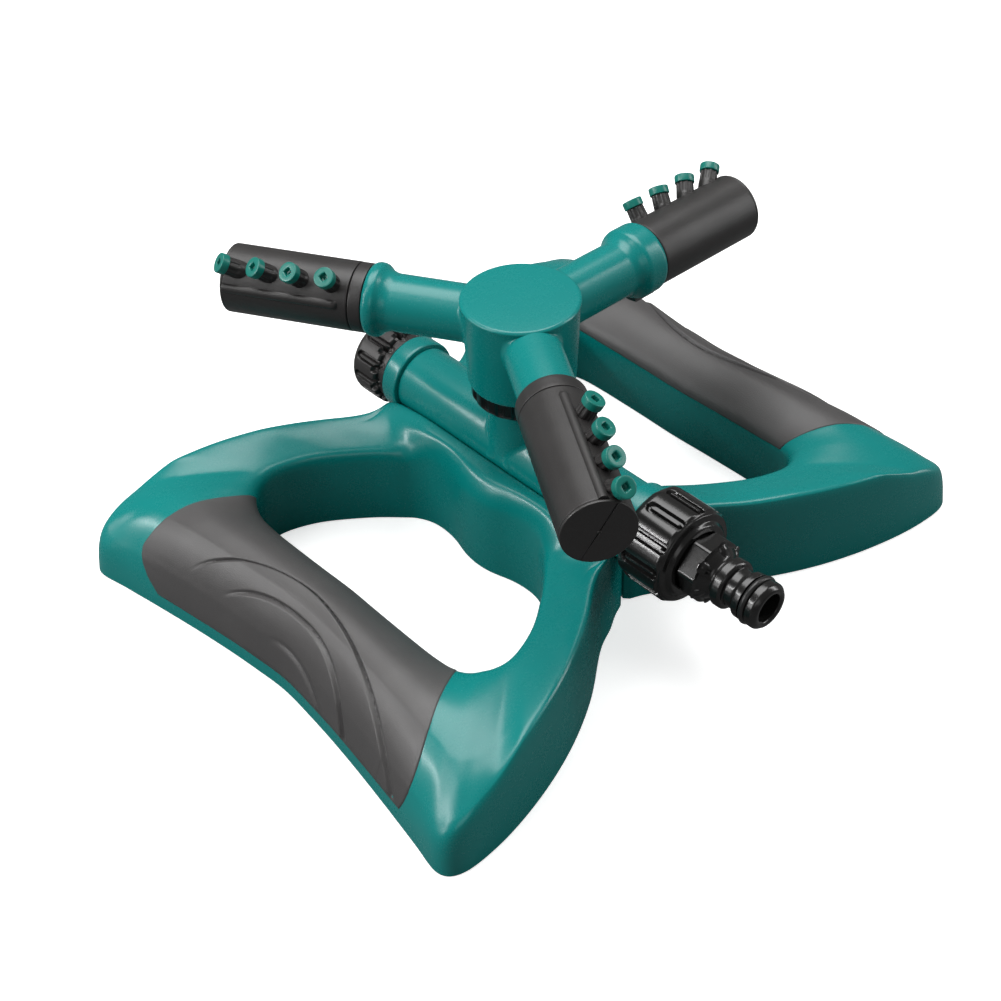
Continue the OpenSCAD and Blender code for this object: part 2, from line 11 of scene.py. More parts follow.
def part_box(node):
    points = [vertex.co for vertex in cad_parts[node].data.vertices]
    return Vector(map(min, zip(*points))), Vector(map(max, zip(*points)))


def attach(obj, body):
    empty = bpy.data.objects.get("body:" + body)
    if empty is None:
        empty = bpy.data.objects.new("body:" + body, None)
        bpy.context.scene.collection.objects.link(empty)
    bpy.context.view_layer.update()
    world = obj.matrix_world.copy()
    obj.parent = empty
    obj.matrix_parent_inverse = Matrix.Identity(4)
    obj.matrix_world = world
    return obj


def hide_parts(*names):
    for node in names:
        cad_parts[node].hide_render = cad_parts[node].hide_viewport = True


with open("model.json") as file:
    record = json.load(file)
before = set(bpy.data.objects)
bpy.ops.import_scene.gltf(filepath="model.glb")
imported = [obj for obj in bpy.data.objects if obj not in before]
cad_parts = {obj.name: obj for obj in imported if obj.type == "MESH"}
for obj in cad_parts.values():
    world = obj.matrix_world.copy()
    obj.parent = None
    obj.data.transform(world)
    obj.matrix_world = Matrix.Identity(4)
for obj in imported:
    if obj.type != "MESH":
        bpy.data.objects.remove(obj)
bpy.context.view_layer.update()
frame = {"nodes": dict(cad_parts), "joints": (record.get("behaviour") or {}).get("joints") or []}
NODES = frame["nodes"]
MM = 0.001

# ---- sizes read from the frame, in millimetres


def box_mm(node):
    low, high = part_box(node)
    return np.array(low) / MM, np.array(high) / MM


NUT_LOW, NUT_HIGH = box_mm("coupling_nut")
CAP_LOW, CAP_HIGH = box_mm("end_cap")
COLLAR_LOW, COLLAR_HIGH = box_mm("swivel_collar")
HUB_LOW = box_mm("rotor_hub")[0]
LID_LOW, LID_HIGH = box_mm("rotor_cap")
TEE_LOW, TEE_HIGH = box_mm("water_tee")
NIPPLE_LOW, NIPPLE_HIGH = box_mm("hose_nipple")
BASE_LOW, BASE_HIGH = box_mm("base_shell")
TUBE_Z = (NUT_LOW[2] + NUT_HIGH[2]) / 2
NUT_R = (NUT_HIGH[2] - NUT_LOW[2]) / 2
CAP_R = (CAP_HIGH[2] - CAP_LOW[2]) / 2
COLLAR_R = (COLLAR_HIGH[0] - COLLAR_LOW[0]) / 2
HUB_R = (LID_HIGH[0] - LID_LOW[0]) / 2
HUB_TOP = LID_HIGH[2] - 0.15
HUB_BOTTOM = HUB_LOW[2]
LID_H = 1.7
JOINTS = {j["name"]: j for j in frame["joints"]}

# sizes that the boxes don't give
TUBE_R = 12.0
RING_R = 13.6
RING_Y = 51.8
RING_LEN = 7.0
ARM_R = 9.5
BARREL_R = 11.5
REACH = 100.2
ARM_Z = 91.2
SPIGOT_R = 8.9
THREAD_PITCH = 1.814
THREAD_ROOT, THREAD_CREST = 10.4, 11.3
POST_R = 11.9
POST_FLANGE_R = 13.3
POST_SPIGOT_R = 8.8
POST_BORE_R = 6.1
WATER_BORE_R = 7.5
LUG_PLACES = (-38, -20, 20, 38)
NOZZLE_COUNT = 4
NOZZLE_LEAN = {"front": 28.0, "right": 44.0, "left": 39.0}
NOZZLE_0 = 61.4
NOZZLE_PITCH = 11.1
NOZZLE_TILT = 4.0
NOZZLE_FAN = 13.0
TIP_R = 3.4
STUB_H = 3.95
TIP_H = 2.7
FLANGE_IN = 46.3
FLANGE_OUT = {"front": None, "right": 55.2, "left": 50.6}
BARREL_IN = {"front": 48.2, "right": 55.5, "left": 55.5}
RIB_TURN = {"front": -21.0, "right": 34.0, "left": 34.0}


# ---- small mesh kit: every maker returns (points in mm, quads), and piece() joins them


def smooth(a, b, x):
    t = np.clip((x - a) / (b - a), 0, 1)
    return t * t * (3 - 2 * t)


def bend(a, corner, b, s):
    """A point or row on the rounded way from a to b, drawn towards the corner between them."""
    return a * (1 - s) ** 2 + corner * 2 * s * (1 - s) + b * s * s


def through(p, q, r, s, f):
    """A smooth curve from q to r that passes through its neighbours p and s."""
    square, cube = 2 * p - 5 * q + 4 * r - s, 3 * q - p - 3 * r + s
    return 0.5 * (2 * q + (r - p) * f + square * f * f + cube * f ** 3)


def quads(rows, cols, close_rows=False, close_cols=False, keep=None):
    """Quad faces of a grid of points; keep(i, j) may drop some."""
    i, j = np.meshgrid(
        np.arange(rows if close_rows else rows - 1),
        np.arange(cols if close_cols else cols - 1),
        indexing="ij",
    )
    if keep is not None:
        mask = keep(i, j)
        i, j = i[mask], j[mask]
    i2, j2 = (i + 1) % rows, (j + 1) % cols
    return np.stack([i * cols + j, i2 * cols + j, i2 * cols + j2, i * cols + j2], -1).reshape(-1, 4)


def soften(profile, radius=0.3, steps=3):
    """An outline with its corners rounded. A point may carry its own radius as a third number."""
    pts = [np.array(p[:2], float) for p in profile]
    rad = [p[2] if len(p) > 2 else radius for p in profile]
    n = len(pts)
    out = []
    for k in range(n):
        if k in (0, n - 1):
            out.append(pts[k])
            continue
        before, here, after = pts[k - 1:k + 2]
        la, lb = np.linalg.norm(before - here), np.linalg.norm(after - here)
        cut = min(rad[k], 0.48 * la, 0.48 * lb)
        if cut < 1e-4:
            out.append(here)
            continue
        a, b = here + (before - here) / la * cut, here + (after - here) / lb * cut
        for s in np.linspace(0, 1, steps + 1):
            out.append(bend(a, here, b, s))
    return np.array(out)


def fine(profile, step):
    """The same outline with its long stretches cut into short ones."""
    out = [profile[0]]
    for a, b in zip(profile[:-1], profile[1:]):
        n = max(1, int(math.ceil(np.linalg.norm(b - a) / step)))
        out += [a + (b - a) * (k + 1) / n for k in range(n)]
    return np.array(out)


def spin(profile, segments=96, shape=None):
    """Turns an outline of (place along the axis, radius) about local X.

    shape(angle, x, r) gives the new radius.
    """
    p = np.asarray(profile, float)
    ang = np.linspace(0, 2 * math.pi, segments, endpoint=False)[None, :]
    x = p[:, :1] + 0 * ang
    r = p[:, 1:2] + 0 * ang
    if shape is not None:
        r = shape(ang, x, r)
    pts = np.stack([x, r * np.cos(ang), r * np.sin(ang)], -1)
    return pts.reshape(-1, 3), quads(len(p), segments, False, True)


def placed(part, origin, along, up=(0, 0, 1)):
    """Moves a part made along local X so that X runs along a direction, with local Z towards up."""
    pts, faces = part
    x = np.array(along, float) / np.linalg.norm(along)
    z = np.array(up, float) - np.dot(up, x) * x
    z /= np.linalg.norm(z)
    y = np.cross(z, x)
    return np.array(origin, float) + pts[:, :1] * x + pts[:, 1:2] * y + pts[:, 2:] * z, faces


def piece(name, parts, material, body, replaced=(), sharp=38.0, weld=1e-6):
    """Joins parts into one object that rides on a body and takes its finish from a material slot."""
    mesh = bpy.data.meshes.new(name)
    points, faces, start = [], [], 0
    for pts, f in parts:
        points.append(pts * MM)
        faces += (f + start).tolist()
        start += len(pts)
    mesh.from_pydata(np.concatenate(points).tolist(), [], faces)
    bm = bmesh.new()
    bm.from_mesh(mesh)
    bmesh.ops.remove_doubles(bm, verts=bm.verts, dist=weld)
    bmesh.ops.dissolve_degenerate(bm, edges=bm.edges, dist=weld)
    bmesh.ops.recalc_face_normals(bm, faces=bm.faces)
    bm.to_mesh(mesh)
    bm.free()
    mesh.shade_smooth()
    mesh.set_sharp_from_angle(angle=math.radians(sharp))
    obj = bpy.data.objects.new(name, mesh)
    bpy.context.scene.collection.objects.link(obj)
    mesh.materials.append(material)
    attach(obj, body)
    if replaced:
        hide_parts(*replaced)
    return obj


# ---- shared surface effects


def new_group(name, inputs, outputs):
    group = bpy.data.node_groups.new(name, "ShaderNodeTree")
    for label, kind, value in inputs:
        s = group.interface.new_socket(label, in_out="INPUT", socket_type=kind)
        s.default_value = value
    for label, kind in outputs:
        group.interface.new_socket(label, in_out="OUTPUT", socket_type=kind)
    return group, group.nodes.new("NodeGroupInput"), group.nodes.new("NodeGroupOutput")


def add(tree, kind, inputs=None, **settings):
    """A node with its settings; inputs maps a socket name or index to a value or to another node's output."""
    n = tree.nodes.new(kind)
    for key, value in settings.items():
        setattr(n, key, value)
    for key, value in (inputs or {}).items():
        if isinstance(value, bpy.types.NodeSocket):
            tree.links.new(value, n.inputs[key])
        else:
            n.inputs[key].default_value = value
    return n


def maths(tree, operation, a, b=0.0, clamp=False):
    return add(tree, "ShaderNodeMath", {0: a, 1: b}, operation=operation, use_clamp=clamp).outputs[0]


def blend_colour(tree, factor, a, b):
    return add(tree, "ShaderNodeMix", {0: factor, 6: a, 7: b}, data_type="RGBA").outputs[2]


def noise(tree, vector, scale, detail=3.0, roughness=0.5):
    inputs = {"Vector": vector, "Scale": scale, "Detail": detail, "Roughness": roughness}
    return add(tree, "ShaderNodeTexNoise", inputs).outputs["Fac"]


def make_moulded():
    """Cloudy tone, uneven gloss and fine grain of moulded plastic or rubber."""
    g, gi, go = new_group(
        "moulded_surface",
        [
            ("Colour", "NodeSocketColor", (0.5, 0.5, 0.5, 1)),
            ("Deep Colour", "NodeSocketColor", (0.4, 0.4, 0.4, 1)),
            ("Roughness", "NodeSocketFloat", 0.4),
            ("Uneven Gloss", "NodeSocketFloat", 0.05),
            ("Grain Scale", "NodeSocketFloat", 2500.0),
        ],
        [("Colour", "NodeSocketColor"), ("Roughness", "NodeSocketFloat"), ("Height", "NodeSocketFloat")],
    )
    at = add(g, "ShaderNodeTexCoord").outputs["Object"]
    cloud = noise(g, at, 28.0, 3.0)
    speck = noise(g, at, gi.outputs["Grain Scale"], 2.0, 0.6)
    smear = noise(g, at, 90.0, 4.0, 0.6)
    share = maths(g, "MULTIPLY", cloud, 0.8, True)
    tone = blend_colour(g, share, gi.outputs["Colour"], gi.outputs["Deep Colour"])
    uneven = maths(g, "MULTIPLY", maths(g, "SUBTRACT", smear, 0.5), gi.outputs["Uneven Gloss"])
    grainy = maths(g, "MULTIPLY", maths(g, "SUBTRACT", speck, 0.5), 0.04)
    rough = maths(g, "ADD", gi.outputs["Roughness"], maths(g, "ADD", uneven, grainy), True)
    g.links.new(tone, go.inputs["Colour"])
    g.links.new(rough, go.inputs["Roughness"])
    g.links.new(maths(g, "ADD", speck, maths(g, "MULTIPLY", smear, 0.35)), go.inputs["Height"])
    return g


def make_wear():
    """Lighter, duller edges where handling has rubbed them."""
    g, gi, go = new_group(
        "edge_wear",
        [
            ("Colour", "NodeSocketColor", (0.5, 0.5, 0.5, 1)),
            ("Worn Colour", "NodeSocketColor", (0.7, 0.7, 0.7, 1)),
            ("Roughness", "NodeSocketFloat", 0.4),
            ("Amount", "NodeSocketFloat", 0.3),
        ],
        [("Colour", "NodeSocketColor"), ("Roughness", "NodeSocketFloat")],
    )
    at = add(g, "ShaderNodeTexCoord").outputs["Object"]
    pointy = add(g, "ShaderNodeNewGeometry").outputs["Pointiness"]
    edge = maths(g, "MULTIPLY", maths(g, "SUBTRACT", pointy, 0.53), 9.0, True)
    broken = maths(g, "MULTIPLY", edge, noise(g, at, 320.0, 3.0, 0.6))
    mask = maths(g, "MULTIPLY", broken, gi.outputs["Amount"], True)
    rubbed = blend_colour(g, mask, gi.outputs["Colour"], gi.outputs["Worn Colour"])
    g.links.new(rubbed, go.inputs["Colour"])
    duller = maths(g, "ADD", gi.outputs["Roughness"], maths(g, "MULTIPLY", mask, 0.15), True)
    g.links.new(duller, go.inputs["Roughness"])
    return g


DUST_COLOUR = (0.55, 0.53, 0.5, 1)


def make_dust():
    """A thin film of dust on faces that look up."""
    g, gi, go = new_group(
        "dust_film",
        [
            ("Colour", "NodeSocketColor", (0.5, 0.5, 0.5, 1)),
            ("Roughness", "NodeSocketFloat", 0.4),
            ("Amount", "NodeSocketFloat", 0.05),
        ],
        [("Colour", "NodeSocketColor"), ("Roughness", "NodeSocketFloat")],
    )
    at = add(g, "ShaderNodeTexCoord").outputs["Object"]
    normal = add(g, "ShaderNodeNewGeometry").outputs["Normal"]
    up = maths(g, "MULTIPLY", add(g, "ShaderNodeSeparateXYZ", {0: normal}).outputs["Z"], 1.0, True)
    settled = maths(g, "MULTIPLY", up, noise(g, at, 60.0, 5.0, 0.65))
    mask = maths(g, "MULTIPLY", settled, gi.outputs["Amount"], True)
    g.links.new(blend_colour(g, mask, gi.outputs["Colour"], DUST_COLOUR), go.inputs["Colour"])
    duller = maths(g, "ADD", gi.outputs["Roughness"], maths(g, "MULTIPLY", mask, 0.5), True)
    g.links.new(duller, go.inputs["Roughness"])
    return g


MOULDED, WEAR, DUST = make_moulded(), make_wear(), make_dust()


RELIEF_DEPTH = 0.0002


def finish_material(name, colour, deep, rough, uneven, grain, bump, wear, dust, **sockets):
    """A moulded material: tone and grain, worn edges, dust, and its own values on the shader."""
    m = bpy.data.materials.new(name)
    m.use_nodes = True
    t = m.node_tree
    shader = t.nodes["Principled BSDF"]
    base = add(t, "ShaderNodeGroup", node_tree=MOULDED)
    for key, value in (("Colour", (*colour, 1)), ("Deep Colour", (*deep, 1)), ("Roughness", rough),
                       ("Uneven Gloss", uneven), ("Grain Scale", grain)):
        base.inputs[key].default_value = value
    worn = add(t, "ShaderNodeGroup", node_tree=WEAR)
    worn.inputs["Worn Colour"].default_value = (*[min(1.0, c * 1.5 + 0.04) for c in colour], 1)
    worn.inputs["Amount"].default_value = wear
    dusty = add(t, "ShaderNodeGroup", node_tree=DUST)
    dusty.inputs["Amount"].default_value = dust
    for a, b in ((base, worn), (worn, dusty)):
        t.links.new(a.outputs["Colour"], b.inputs["Colour"])
        t.links.new(a.outputs["Roughness"], b.inputs["Roughness"])
    t.links.new(dusty.outputs["Colour"], shader.inputs["Base Color"])
    t.links.new(dusty.outputs["Roughness"], shader.inputs["Roughness"])
    height = base.outputs["Height"]
    relief = add(t, "ShaderNodeBump", {"Strength": bump, "Distance": RELIEF_DEPTH, "Height": height})
    t.links.new(relief.outputs["Normal"], shader.inputs["Normal"])
    for key, value in sockets.items():
        shader.inputs[key.replace("_", " ")].default_value = value
    return m


TEAL = finish_material(
    "teal_plastic", (0.0, 0.198, 0.186), (0.0, 0.176, 0.168),
    rough=0.27, uneven=0.06, grain=1800.0, bump=0.05, wear=0.15, dust=0.01, Specular_IOR_Level=0.42)
TIP_TEAL = finish_material(
    "tip_plastic", (0.0, 0.165, 0.132), (0.0, 0.14, 0.115),
    rough=0.33, uneven=0.08, grain=2200.0, bump=0.10, wear=0.3, dust=0.02)
GRIP = finish_material(
    "grip_rubber", (0.058, 0.056, 0.056), (0.046, 0.044, 0.045),
    rough=0.42, uneven=0.10, grain=3200.0, bump=0.35, wear=0.25, dust=0.05)
BLACK = finish_material(
    "matte_black_plastic", (0.018, 0.0165, 0.0165), (0.013, 0.012, 0.012),
    rough=0.40, uneven=0.12, grain=2600.0, bump=0.25, wear=0.3, dust=0.04)
GLOSS = finish_material(
    "gloss_black_plastic", (0.008, 0.0078, 0.0078), (0.006, 0.006, 0.006),
    rough=0.2, uneven=0.08, grain=1500.0, bump=0.06, wear=0.25, dust=0.02)
SEAL = finish_material(
    "seal_rubber", (0.012, 0.012, 0.012), (0.009, 0.009, 0.009),
    rough=0.35, uneven=0.1, grain=3000.0, bump=0.2, wear=0.1, dust=0.01)
SLIP = finish_material(
    "slip_plastic", (0.74, 0.73, 0.69), (0.70, 0.69, 0.65),
    rough=0.35, uneven=0.1, grain=2000.0, bump=0.1, wear=0.1, dust=0.02)
ZINC = finish_material(
    "zinc_steel", (0.62, 0.62, 0.60), (0.52, 0.52, 0.52),
    rough=0.33, uneven=0.2, grain=900.0, bump=0.2, wear=0.3, dust=0.0, Metallic=1.0)


# ---- base: one smooth surface through the same stations as the CAD shell

# stations round a quarter of a wing, from the middle of its outer bar to the tube: hand hole, rim
HOLE = np.array([
    (75, 0), (75.3, 13), (75.5, 26), (75.5, 38), (75, 47), (73.2, 52.8), (70.3, 56.2), (66.5, 58.2),
    (62, 58.8), (56, 57.5), (48, 54), (40, 48.5), (32, 42), (26, 36), (22.4, 32), (19.9, 26.5),
    (19.3, 20.5), (20.2, 13.5), (22.2, 7), (23, 0)], float)
RIM = np.array([
    (106, 0), (107, 14), (108.5, 28), (110.6, 43), (113.2, 59), (116, 75), (118, 87.3), (112.5, 92.2),
    (100, 92.3), (86, 90), (70, 85.5), (54, 79), (38, 70), (22, 58), (12.2, 53.2), (0, 47.6), (0, 30),
    (0, 18), (0, 8), (0, 0)], float)
# cross-sections of the outer bar, the side bar and the foot corner: share of the width, height
SHARE = np.array([(0, 0, .03, .10, .22, .38, .50, .62, .74, .84, .905, .955, .985, 1),
                  (0, 0, .03, .10, .22, .38, .52, .66, .78, .86, .905, .935, .965, 1),
                  (0, 0, .03, .10, .22, .38, .50, .62, .74, .84, .905, .955, .985, 1)])
HEIGHT = np.array([(0, 21, 24, 26.4, 29.2, 31.3, 31.4, 30, 26.8, 22, 16.8, 10, 4.5, 0),
                   (0, 26, 28.6, 29.8, 30.4, 31.2, 31.9, 32.5, 32.9, 33, 32.2, 29.5, 16, 0),
                   (0, 25, 28, 29.2, 30.0, 30.0, 28.8, 26.4, 22.8, 18, 15, 12.3, 8, 0)])
FLANK_SHARE = (0, 0, .10, .22, .36, .54, .76, 1)
FLANK_HEIGHT = np.array((0, 30, 33.8, 36.4, 37.8, 38.3, 38.4, 38.2))
FLANK_START = np.array((0, 26, 29, 30.6, 31.8, 32.8, 33.4, 33.8))
# how much of each cross-section a station takes, and how high its rim side stands
MIX = np.array([(1, 0, 0)] * 4 + [(.85, 0, .15), (.45, 0, .55), (.05, .05, .9), (0, .35, .65), (0, .75, .25)]
               + [(0, 1, 0)] * 6, float)
RIDGE = np.array([1, 1, 1, 1, 1, 1, 1, .92, .84, .91, .965, 1, 1, 1.02, 1.05])
FLOOR_Z = TUBE_Z - TUBE_R - 1.8
WAIST = 14
WAIST_END = 15
WALL = 2.8
SCALE = (BASE_HIGH - BASE_LOW)[:2] / 2 / RIM.max(axis=0)
SCALE_Z = 33.5 / HEIGHT.max()


def along_curve(points, t):
    """Catmull-Rom curve through points, mirrored in Y at both ends."""
    n = len(points)
    padded = np.vstack([points[1] * (1, -1), points, points[n - 2] * (1, -1)])
    i = min(int(t), n - 2)
    f = t - i
    return through(*padded[i:i + 4], f)


def lerp_at(table, t):
    """The table's row at a place between two whole stations."""
    i = min(int(t), len(table) - 2)
    return table[i] * (1 - (t - i)) + table[i + 1] * (t - i)


def edges_at(t):
    """Plan points on the edge of the hand hole and on the outer rim for station t."""
    hole = along_curve(HOLE, t) * SCALE
    if t > WAIST_END:
        rim = np.array((0.0, lerp_at(RIM[:, 1], t) * SCALE[1]))
    elif t >= WAIST:
        left = WAIST_END - t
        x = RIM[WAIST, 0] * left
        y = RIM[WAIST_END, 1] + (RIM[WAIST, 1] - RIM[WAIST_END, 1]) * left ** 1.6
        rim = np.array((x, y)) * (1, SCALE[1])
    else:
        rim = along_curve(RIM, t) * SCALE
    return hole, rim


def side_bar_row(t, hole, rim):
    """Stations across a wing: hole's foot, over the ridge, down to the rim's foot."""
    mix = lerp_at(MIX, t)
    share, height = mix @ SHARE, mix @ HEIGHT * SCALE_Z
    plan = hole + (rim - hole) * share[:, None]
    return np.column_stack([plan, height * (1 - share + share * lerp_at(RIDGE, t))])


def waist_row(t, hole, rim):
    """Stations beside the tube: up the flank to the tube's side, then the floor under the tube."""
    side = TUBE_R + 0.15

    def at_x(x):
        return hole + (rim - hole) * min(1.0, (hole[0] - x) / (hole[0] - rim[0]))

    a, b = at_x(side), at_x(side - 0.15)
    part = float(smooth(WAIST - 1, WAIST + 1, t))
    plan = [hole + (a - hole) * s for s in FLANK_SHARE] + [b, (b + rim) / 2] + [rim] * 4
    z = FLANK_HEIGHT * (TUBE_Z - 1.6) / FLANK_HEIGHT[-1] * part + (1 - part) * FLANK_START * SCALE_Z
    top = z[-1]
    under_tube = float(smooth(WAIST, WAIST + 0.3, t))
    floor = np.array((FLOOR_Z, FLOOR_Z, FLOOR_Z, FLOOR_Z * .96, FLOOR_Z * .5, 0))
    bar = np.array((top - .05, top - .2, top - .8, top * .88, top * .5, 0))
    return np.column_stack([np.array(plan), np.append(z, bar + (floor - bar) * under_tube)])


def skin_row(t):
    """Stations of the outer skin at t, from the hole's foot over the top to the rim's foot."""
    hole, rim = edges_at(t)
    waist = float(smooth(WAIST - 1.5, WAIST, t))
    row = 0
    if waist < 1:
        row = side_bar_row(t, hole, rim) * (1 - waist)
    if waist > 0:
        row = row + waist_row(t, hole, rim) * waist
    extra = (1 - waist) / 3
    top = (row[7] + (0, 0, -0.8)) * waist + (row[7] * 0.85 + row[8] * 0.15) * (1 - waist)
    return np.array([row[0]] * 2 + [row[0] * .1 + row[1] * .9] + list(row[1:8]) + [top, row[8], row[9]]
                    + [row[10] + (row[9] - row[10]) * extra, row[10], row[10] + (row[11] - row[10]) * extra]
                    + [row[11], row[12]] + [row[13]] * 3)


ROW_STATION = [0, 0, .9, 1, 2, 3, 4, 5, 6, 7, 7.2, 8, 9, 9.67, 10, 10.33, 11, 12, 13, 13, 13]


def inner_row(t, skin):
    """Stations of the hollow underside, from the rim's foot back to the hole's foot."""
    hole, rim = edges_at(t)
    d = (rim - hole) / np.linalg.norm(rim - hole)
    inward = np.array([d[0], d[1], 0])
    keep = {s: skin[k] for k, s in enumerate(ROW_STATION)}
    if t < WAIST:
        below = np.array([0, 0, -WALL])
        rows = [keep[13] - inward * WALL, keep[11] - inward * WALL, keep[10] + below - inward * 0.8]
        rows += [keep[j] + below for j in (8, 6, 5, 3)]
        rows += [keep[1] + inward * WALL - (0, 0, 1.5), keep[0] + inward * WALL]
    else:
        z = FLOOR_Z - WALL
        if t == WAIST:
            back = d
        elif t >= WAIST_END:
            back = np.array([0.0, 1.0])
        else:
            back = np.array([-0.36 * (WAIST_END - t), 0.93])
        end = rim if t > WAIST_END else np.array([max(0, rim[0] - back[0] * WALL), rim[1] - back[1] * WALL])
        reach = (0, 0, 0, .75, .6, .48, .34, 0, 0) if t == WAIST else None
        rows = [np.array([*end, 0]), np.array([*end, z - 1]), np.array([*end, z])]
        lift = (z, z, z, z, z - 1.5, 0) if t == WAIST else (z, z - 1, z - 4, 12, 5, 0)
        for k in range(3, 9):
            if reach:
                xy = hole + (rim - hole) * reach[k] + (d * WALL if k > 6 else 0)
            else:
                x = TUBE_R + (0, .3, .5, .6, .7, .8)[k - 3]
                xy = hole + (rim - hole) * min(1.0, (hole[0] - x) / (hole[0] - rim[0]))
            rows.append(np.array([*xy, lift[k - 3]]))
    return np.array(rows[:2] + [rows[2]] * 3 + rows[3:] + [skin[0]])


def b_spline(control, samples):
    """Smooth closed curve over control rows (a uniform cubic B-spline).

    Returns the points and their place in the list.
    """
    n = len(control)
    out, place = [], []
    for k in range(n):
        p = [control[(k + m) % n] for m in (-1, 0, 1, 2)]
        for u in np.arange(samples) / samples:
            w = ((1 - u) ** 3 / 6, (3 * u ** 3 - 6 * u * u + 4) / 6,
                 (-3 * u ** 3 + 3 * u * u + 3 * u + 1) / 6, u ** 3 / 6)
            out.append(sum(a * b for a, b in zip(w, p)))
            place.append(k + u)
    return np.array(out), np.array(place)


SECTIONS = list(np.arange(0, 14, 0.25)) + [14, 14.3, 14.65, 15, 15.5, 16, 16.5, 17, 17.5, 18, 18.5, 19]
HALF = len(SECTIONS)
ALL_SECTIONS = SECTIONS + [-s for s in SECTIONS[-2:0:-1]]


def wing_controls():
    """Closed rows of control points round a wing, one row for each section."""
    rows = []
    for t in ALL_SECTIONS:
        skin = skin_row(abs(t))
        row = np.vstack([skin, inner_row(abs(t), skin)])
        rows.append(row * (1, -1 if t < 0 else 1, 1))
    return np.array(rows)


CONTROLS = wing_controls()
N_SKIN = len(ROW_STATION)
# the station that each control point of a row belongs to, with the underside counted on from the rim
KNOT = ROW_STATION + [14, 15, 16, 16, 16, 17, 18, 19, 20, 21, 22, 23]


def outward(grid):
    """Unit normals of a wing's grid, pointing out of the skin."""
    normal = np.cross(np.gradient(grid, axis=1), np.gradient(grid, axis=0))
    return normal / (np.linalg.norm(normal, axis=2, keepdims=True) + 1e-9)


# where the grips end along the wing: the station across it at which the end turns, the section there, and
# by how many sections and with what bow the end runs off towards the hole and towards the rim
GRIP_TOP = (9, 4.83, (1.02, 1.5), (-0.81, 1.5))
GRIP_LOW = (7.6, -4.84, (0.54, 1.6), (0.42, 2.0))
GRIP_INNER, GRIP_OUTER = 1, 12
BED_DEPTH = 1.2


def grip_end(station, end):
    """The section at which a grip ends, at a station across the wing."""
    turn, section, (hole_run, hole_bow), (rim_run, rim_bow) = end
    to_hole = np.clip((turn - station) / (turn - GRIP_INNER), 0, 1)
    to_rim = np.clip((station - turn) / (GRIP_OUTER - turn), 0, 1)
    return section + hole_run * to_hole ** hole_bow + rim_run * to_rim ** rim_bow


def grip_bed(t, station, place):
    """Depth of the pocket that a grip is moulded into."""
    signed = t[:, None]
    inside = smooth(0.12, 0.3, grip_end(station, GRIP_TOP)[None, :] - signed)
    inside = inside * smooth(0.12, 0.3, signed - grip_end(station, GRIP_LOW)[None, :])
    across = smooth(1.3, 1.8, station) * smooth(11.7, 11.2, station) * (place < N_SKIN)
    return BED_DEPTH * inside * across[None, :]


def signed_section(along):
    """The section at a place in the closed list, negative on the wing's -Y half."""
    last = HALF - 1
    near = np.interp(along, np.arange(HALF), SECTIONS)
    far = np.interp(along, np.arange(last, len(ALL_SECTIONS) + 1),
                    [-SECTIONS[-1]] + ALL_SECTIONS[HALF:] + [0.0])
    return np.where(along > last + 1e-6, far, near)


def base_wing(side):
    """One wing of the base, closed over its skin and its underside, with the bed for its grip."""
    across, place = b_spline(CONTROLS.transpose(1, 0, 2), 3)
    grid, along = b_spline(across.transpose(1, 0, 2), 2)
    station = np.interp(place, np.arange(len(KNOT)), KNOT)
    signed_t = signed_section(along)
    t = np.abs(signed_t)
    grid = grid - outward(grid) * grip_bed(signed_t, station, place)[..., None]
    grid = grid * (side, 1, 1)

    def keep(i, j):
        i2, j2 = (i + 1) % len(t), (j + 1) % len(station)
        middle = (t[i] >= WAIST_END - 1e-6) & (t[i2] >= WAIST_END - 1e-6)
        return ~(middle & (station[j] >= 10) & (station[j2] <= 16) & (station[j2] > 10))

    pts = grid.reshape(-1, 3)
    pts[:, 0] = np.where(np.abs(pts[:, 0]) < 0.02, 0, pts[:, 0])
    return pts, quads(grid.shape[0], grid.shape[1], True, True, keep)


def build_base():
    wings = [base_wing(1), base_wing(-1)]
    piece("base_body", wings, TEAL, "base", ("base_shell", "tube_cradle"), 50)


# ---- soft grips with three raised steps

# each line bows round a crest, outermost first: crest in plan; how far out it runs, over what length and
# with what bow, on its +Y side and on its -Y side; rise of the step; depth of the groove
STEPS = (
    ((90.8, 1.5), (17.2, 46.5, 2.0), (19.7, 57.5, 1.7), 0.75, 0.85),
    ((98.5, 0.0), (7.8, 31.8, 2.0), (11.0, 34.0, 2.3), 0.6, 0.8),
    ((104.2, 0.0), (1.3, 10.0, 2.0), (4.8, 23.0, 1.85), 0.3, 0.4),
)
GRIP_PROUD = 0.3
GRIP_TUCK = 0.6
GRIP_UNDER = 1.15
GRIP_REACH = 6.25


def step_line(crest, up, down):
    """Plan points along a line that bows round its crest, from its +Y end to its -Y end."""
    y = np.linspace(up[1], -down[1], 160)
    run, span, bow = np.where(y > 0, np.array(up)[:, None], np.array(down)[:, None])
    return np.column_stack([crest[0] + run * (np.abs(y) / span) ** bow, crest[1] + y])


